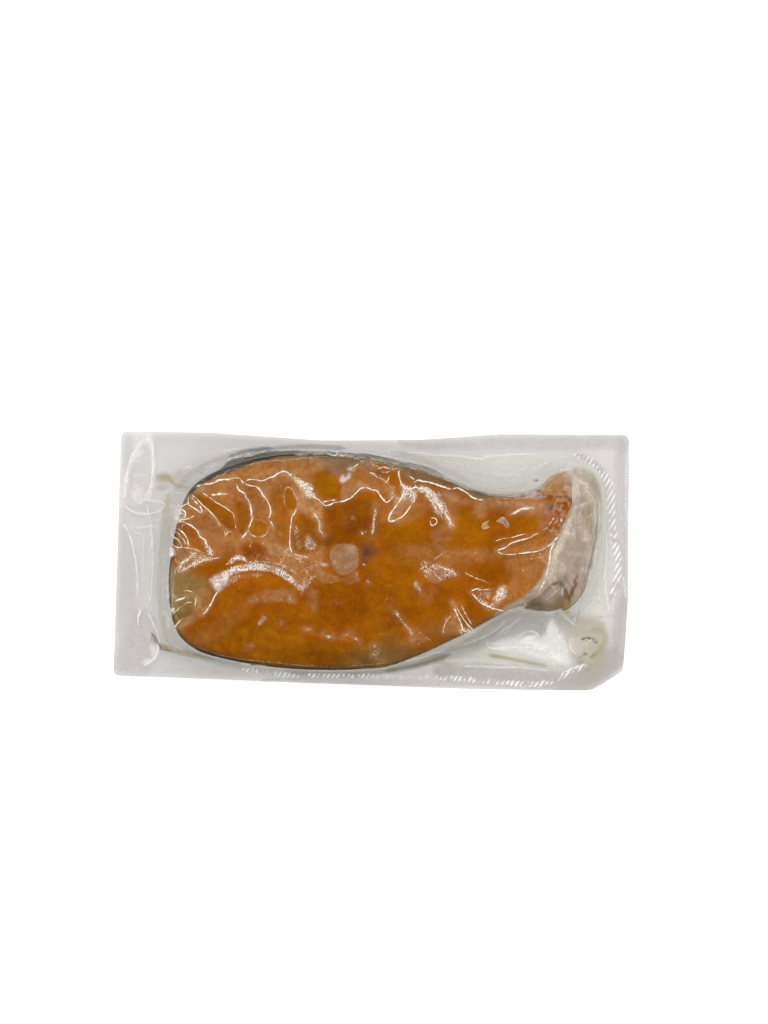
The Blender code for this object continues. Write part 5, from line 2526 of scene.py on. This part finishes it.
@dataclass(frozen=True)
class Crumbs:
    """Small dark crumbs that lie loose under the film, scattered along a few routes."""

    sides: int = 9
    rings: int = 5
    seed: int = 77
    sizes: tuple[float, float] = (0.12, 0.34)
    stretch: tuple[float, float] = (0.7, 1.7)
    roughness: float = 0.35
    flatness: float = 0.5
    sunk: float = 0.3 * MM
    colour: Colour = (0.085, 0.05, 0.018)

    def build(self, finish: Material) -> None:
        """Makes every crumb as a small uneven ball, flattened, all in one piece.

        A ball's radius is 1 + roughness * noise of its angles, times a seeded size in
        millimetres, and its height is its width times the flatness.

        Args:
            finish: Their material.
        """
        draw = np.random.default_rng(self.seed)
        polar = np.linspace(0.0, math.pi, self.rings + 2)
        turn = np.linspace(0.0, TAU, self.sides, endpoint=False)
        balls, faces = [], []
        for count, stray, *route in rows_of(CRUMB_TRAILS):
            knots = PHOTO.route(" ".join(route))
            for at in draw.uniform(0.0, len(knots) - 1.0, int(count)):
                middle = [np.interp(at, np.arange(len(knots)), knots[:, k]) for k in range(2)]
                x, y = np.array(middle) + draw.normal(0.0, float(stray) * MM, 2)
                size = draw.uniform(*self.sizes) * MM
                uneven = 1.0 + self.roughness * draw.uniform(-1.0, 1.0, (polar.size, self.sides))
                uneven[0], uneven[-1] = 1.0, 1.0
                ring = np.sin(polar)[:, None] * uneven * size
                long = draw.uniform(*self.stretch)
                high = np.cos(polar)[:, None] * size * self.flatness * np.ones_like(ring)
                floor = float(FORM.film(np.array([x]), np.array([y]))[0]) - self.sunk
                ball = (x + ring * np.cos(turn) * long, y + ring * np.sin(turn), high + floor)
                faces.append(net_faces(*ring.shape, len(balls) * ring.size)[:, ::-1])
                balls.append(np.stack(ball, axis=-1).reshape(-1, 3))
        places = np.concatenate(balls).T
        marks = {"tint": Paint(*places[:2], self.colour).values()}
        new_piece("crumbs", finish, places, np.concatenate(faces), marks, Slot.JUICE)


# -------- the studio


@dataclass(frozen=True)
class SoftBox:
    """A soft light that faces the pack: where it stands, its size and its radiance.

    A fill box only lights; a strip is mirrored in the film as well.
    """

    name: str
    azimuth: float
    elevation: float
    width: float
    height: float
    radiance: float
    mirrored: bool = False
    distance: float = 1.0

    def build(self) -> None:
        """Makes the light. Its power is radiance * pi * area, as an area light spreads it."""
        turn, lift = math.radians(self.azimuth), math.radians(self.elevation)
        out = Vector((math.cos(turn) * math.cos(lift), math.sin(turn) * math.cos(lift), math.sin(lift)))
        lamp = bpy.data.lights.new(self.name, "AREA")
        lamp.shape = "RECTANGLE"
        lamp.size, lamp.size_y = self.width, self.height
        lamp.energy = self.radiance * math.pi * self.width * self.height
        box = bpy.data.objects.new(self.name, lamp)
        box.location = out * self.distance
        box.rotation_mode = "QUATERNION"
        box.rotation_quaternion = (-out).to_track_quat("-Z", "Y")
        box.visible_camera = False
        box.visible_glossy = self.mirrored
        bpy.context.scene.collection.objects.link(box)


@dataclass
class Studio:
    """The floor, the lights, the sky's faint fill and the camera."""

    floor_size: float = 8.0
    floor_drop: float = 0.05 * MM
    camera_height: float = 1.308
    focus_height: float = 0.008
    sensor: float = 36.0
    fill: float = 0.04
    boxes: tuple[SoftBox, ...] = (
        SoftBox("fill_upper", 90.0, 56.0, 1.0, 0.5, 2.9),
        SoftBox("fill_lower", 270.0, 50.0, 1.0, 0.5, 2.0),
        SoftBox("fill_left", 180.0, 50.0, 1.0, 0.5, 2.05),
        SoftBox("fill_right", 0.0, 50.0, 1.0, 0.5, 2.05),
        SoftBox("strip_upper", 96.0, 44.0, 0.8, 0.07, 5.0, True),
        SoftBox("strip_lower", 262.0, 40.0, 0.5, 0.05, 4.0, True),
        SoftBox("strip_left", 172.0, 46.0, 0.6, 0.06, 5.0, True),
        SoftBox("strip_right", 8.0, 44.0, 0.5, 0.06, 4.0, True),
    )

    def build(self, floor_finish: Material) -> None:
        """Makes everything round the pack.

        Args:
            floor_finish: The floor's material.
        """
        sides = np.array([(-1, 1, 1, -1), (-1, -1, 1, 1)]) * (self.floor_size / 2)
        places = (*(sides + FORM.shift[:2, None]), np.full(4, -self.floor_drop))
        halves = np.array([(0, 1, 2), (0, 2, 3)])
        new_piece("floor", floor_finish, places, halves, {})
        for box in self.boxes:
            box.build()
        self.build_world()
        self.build_camera()

    def build_world(self) -> None:
        """A faint white fill from all round, which the camera sees as plain white."""
        world = bpy.data.worlds.new("sky")
        world.use_nodes = True
        tree = NodeTree(world.node_tree)
        path = tree.node("ShaderNodeLightPath", {}, {}).outputs["Is Camera Ray"]
        inputs = {"Value": path, "To Min": self.fill, "To Max": 1.0}
        strength = tree.node("ShaderNodeMapRange", {}, inputs).outputs["Result"]
        sky = tree.nodes["Background"]
        tree.feed(sky.inputs["Color"], (1.0, 1.0, 1.0))
        tree.feed(sky.inputs["Strength"], strength)
        bpy.context.scene.world = world

    def build_camera(self) -> None:
        """Straight above, framed so that the photograph's pixels fall where PHOTO says."""
        lens = bpy.data.cameras.new("camera")
        lens.sensor_width = self.sensor
        frame_height = PHOTO.height * PHOTO.mm_per_px * MM
        lens.lens = self.sensor * (self.camera_height - self.focus_height) / frame_height
        lens.clip_end = 50.0
        camera = bpy.data.objects.new("camera", lens)
        middle = PHOTO.place((PHOTO.width / 2, PHOTO.height / 2)) - FORM.shift[:2]
        camera.location = (*middle, self.camera_height)
        bpy.context.scene.collection.objects.link(camera)
        bpy.context.scene.camera = camera
        bpy.context.scene.view_settings.view_transform = "Standard"


def corners(bounds: Any) -> list[list[float]]:
    """A box as two plain lists."""
    return [[float(value) for value in corner] for corner in bounds]


def main() -> None:
    """Builds the pack round its frame, then the studio."""
    logging.basicConfig(level=logging.INFO, format="%(name)s: %(message)s")
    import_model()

    film = Film(FilmFinish().make())
    moist = MoistFinish("moist_lining", 2.4 * MM, contrast=0.16, gloss=0.05).make()
    bone = MoistFinish("cut_bone", 1.1 * MM, contrast=0.2, roughness=0.5).make()
    crumb = MoistFinish("crumb", 0.4 * MM, contrast=0.6, roughness=0.7, gloss=0.1).make()

    film.build()
    film.build_rim()
    FoldCrests(CrestFinish().make()).build()
    steak = Steak(FleshFinish().make(), SkinFinish().make())
    steak.build_flesh()
    steak.build_skin()
    for lobe in LOBES:
        lobe.build(bone if lobe.slot is Slot.BONE else moist, steak.film_gap)
    Crumbs().build(crumb)

    Studio().build(FloorFinish().make())


if __name__ == "__main__":
    main()
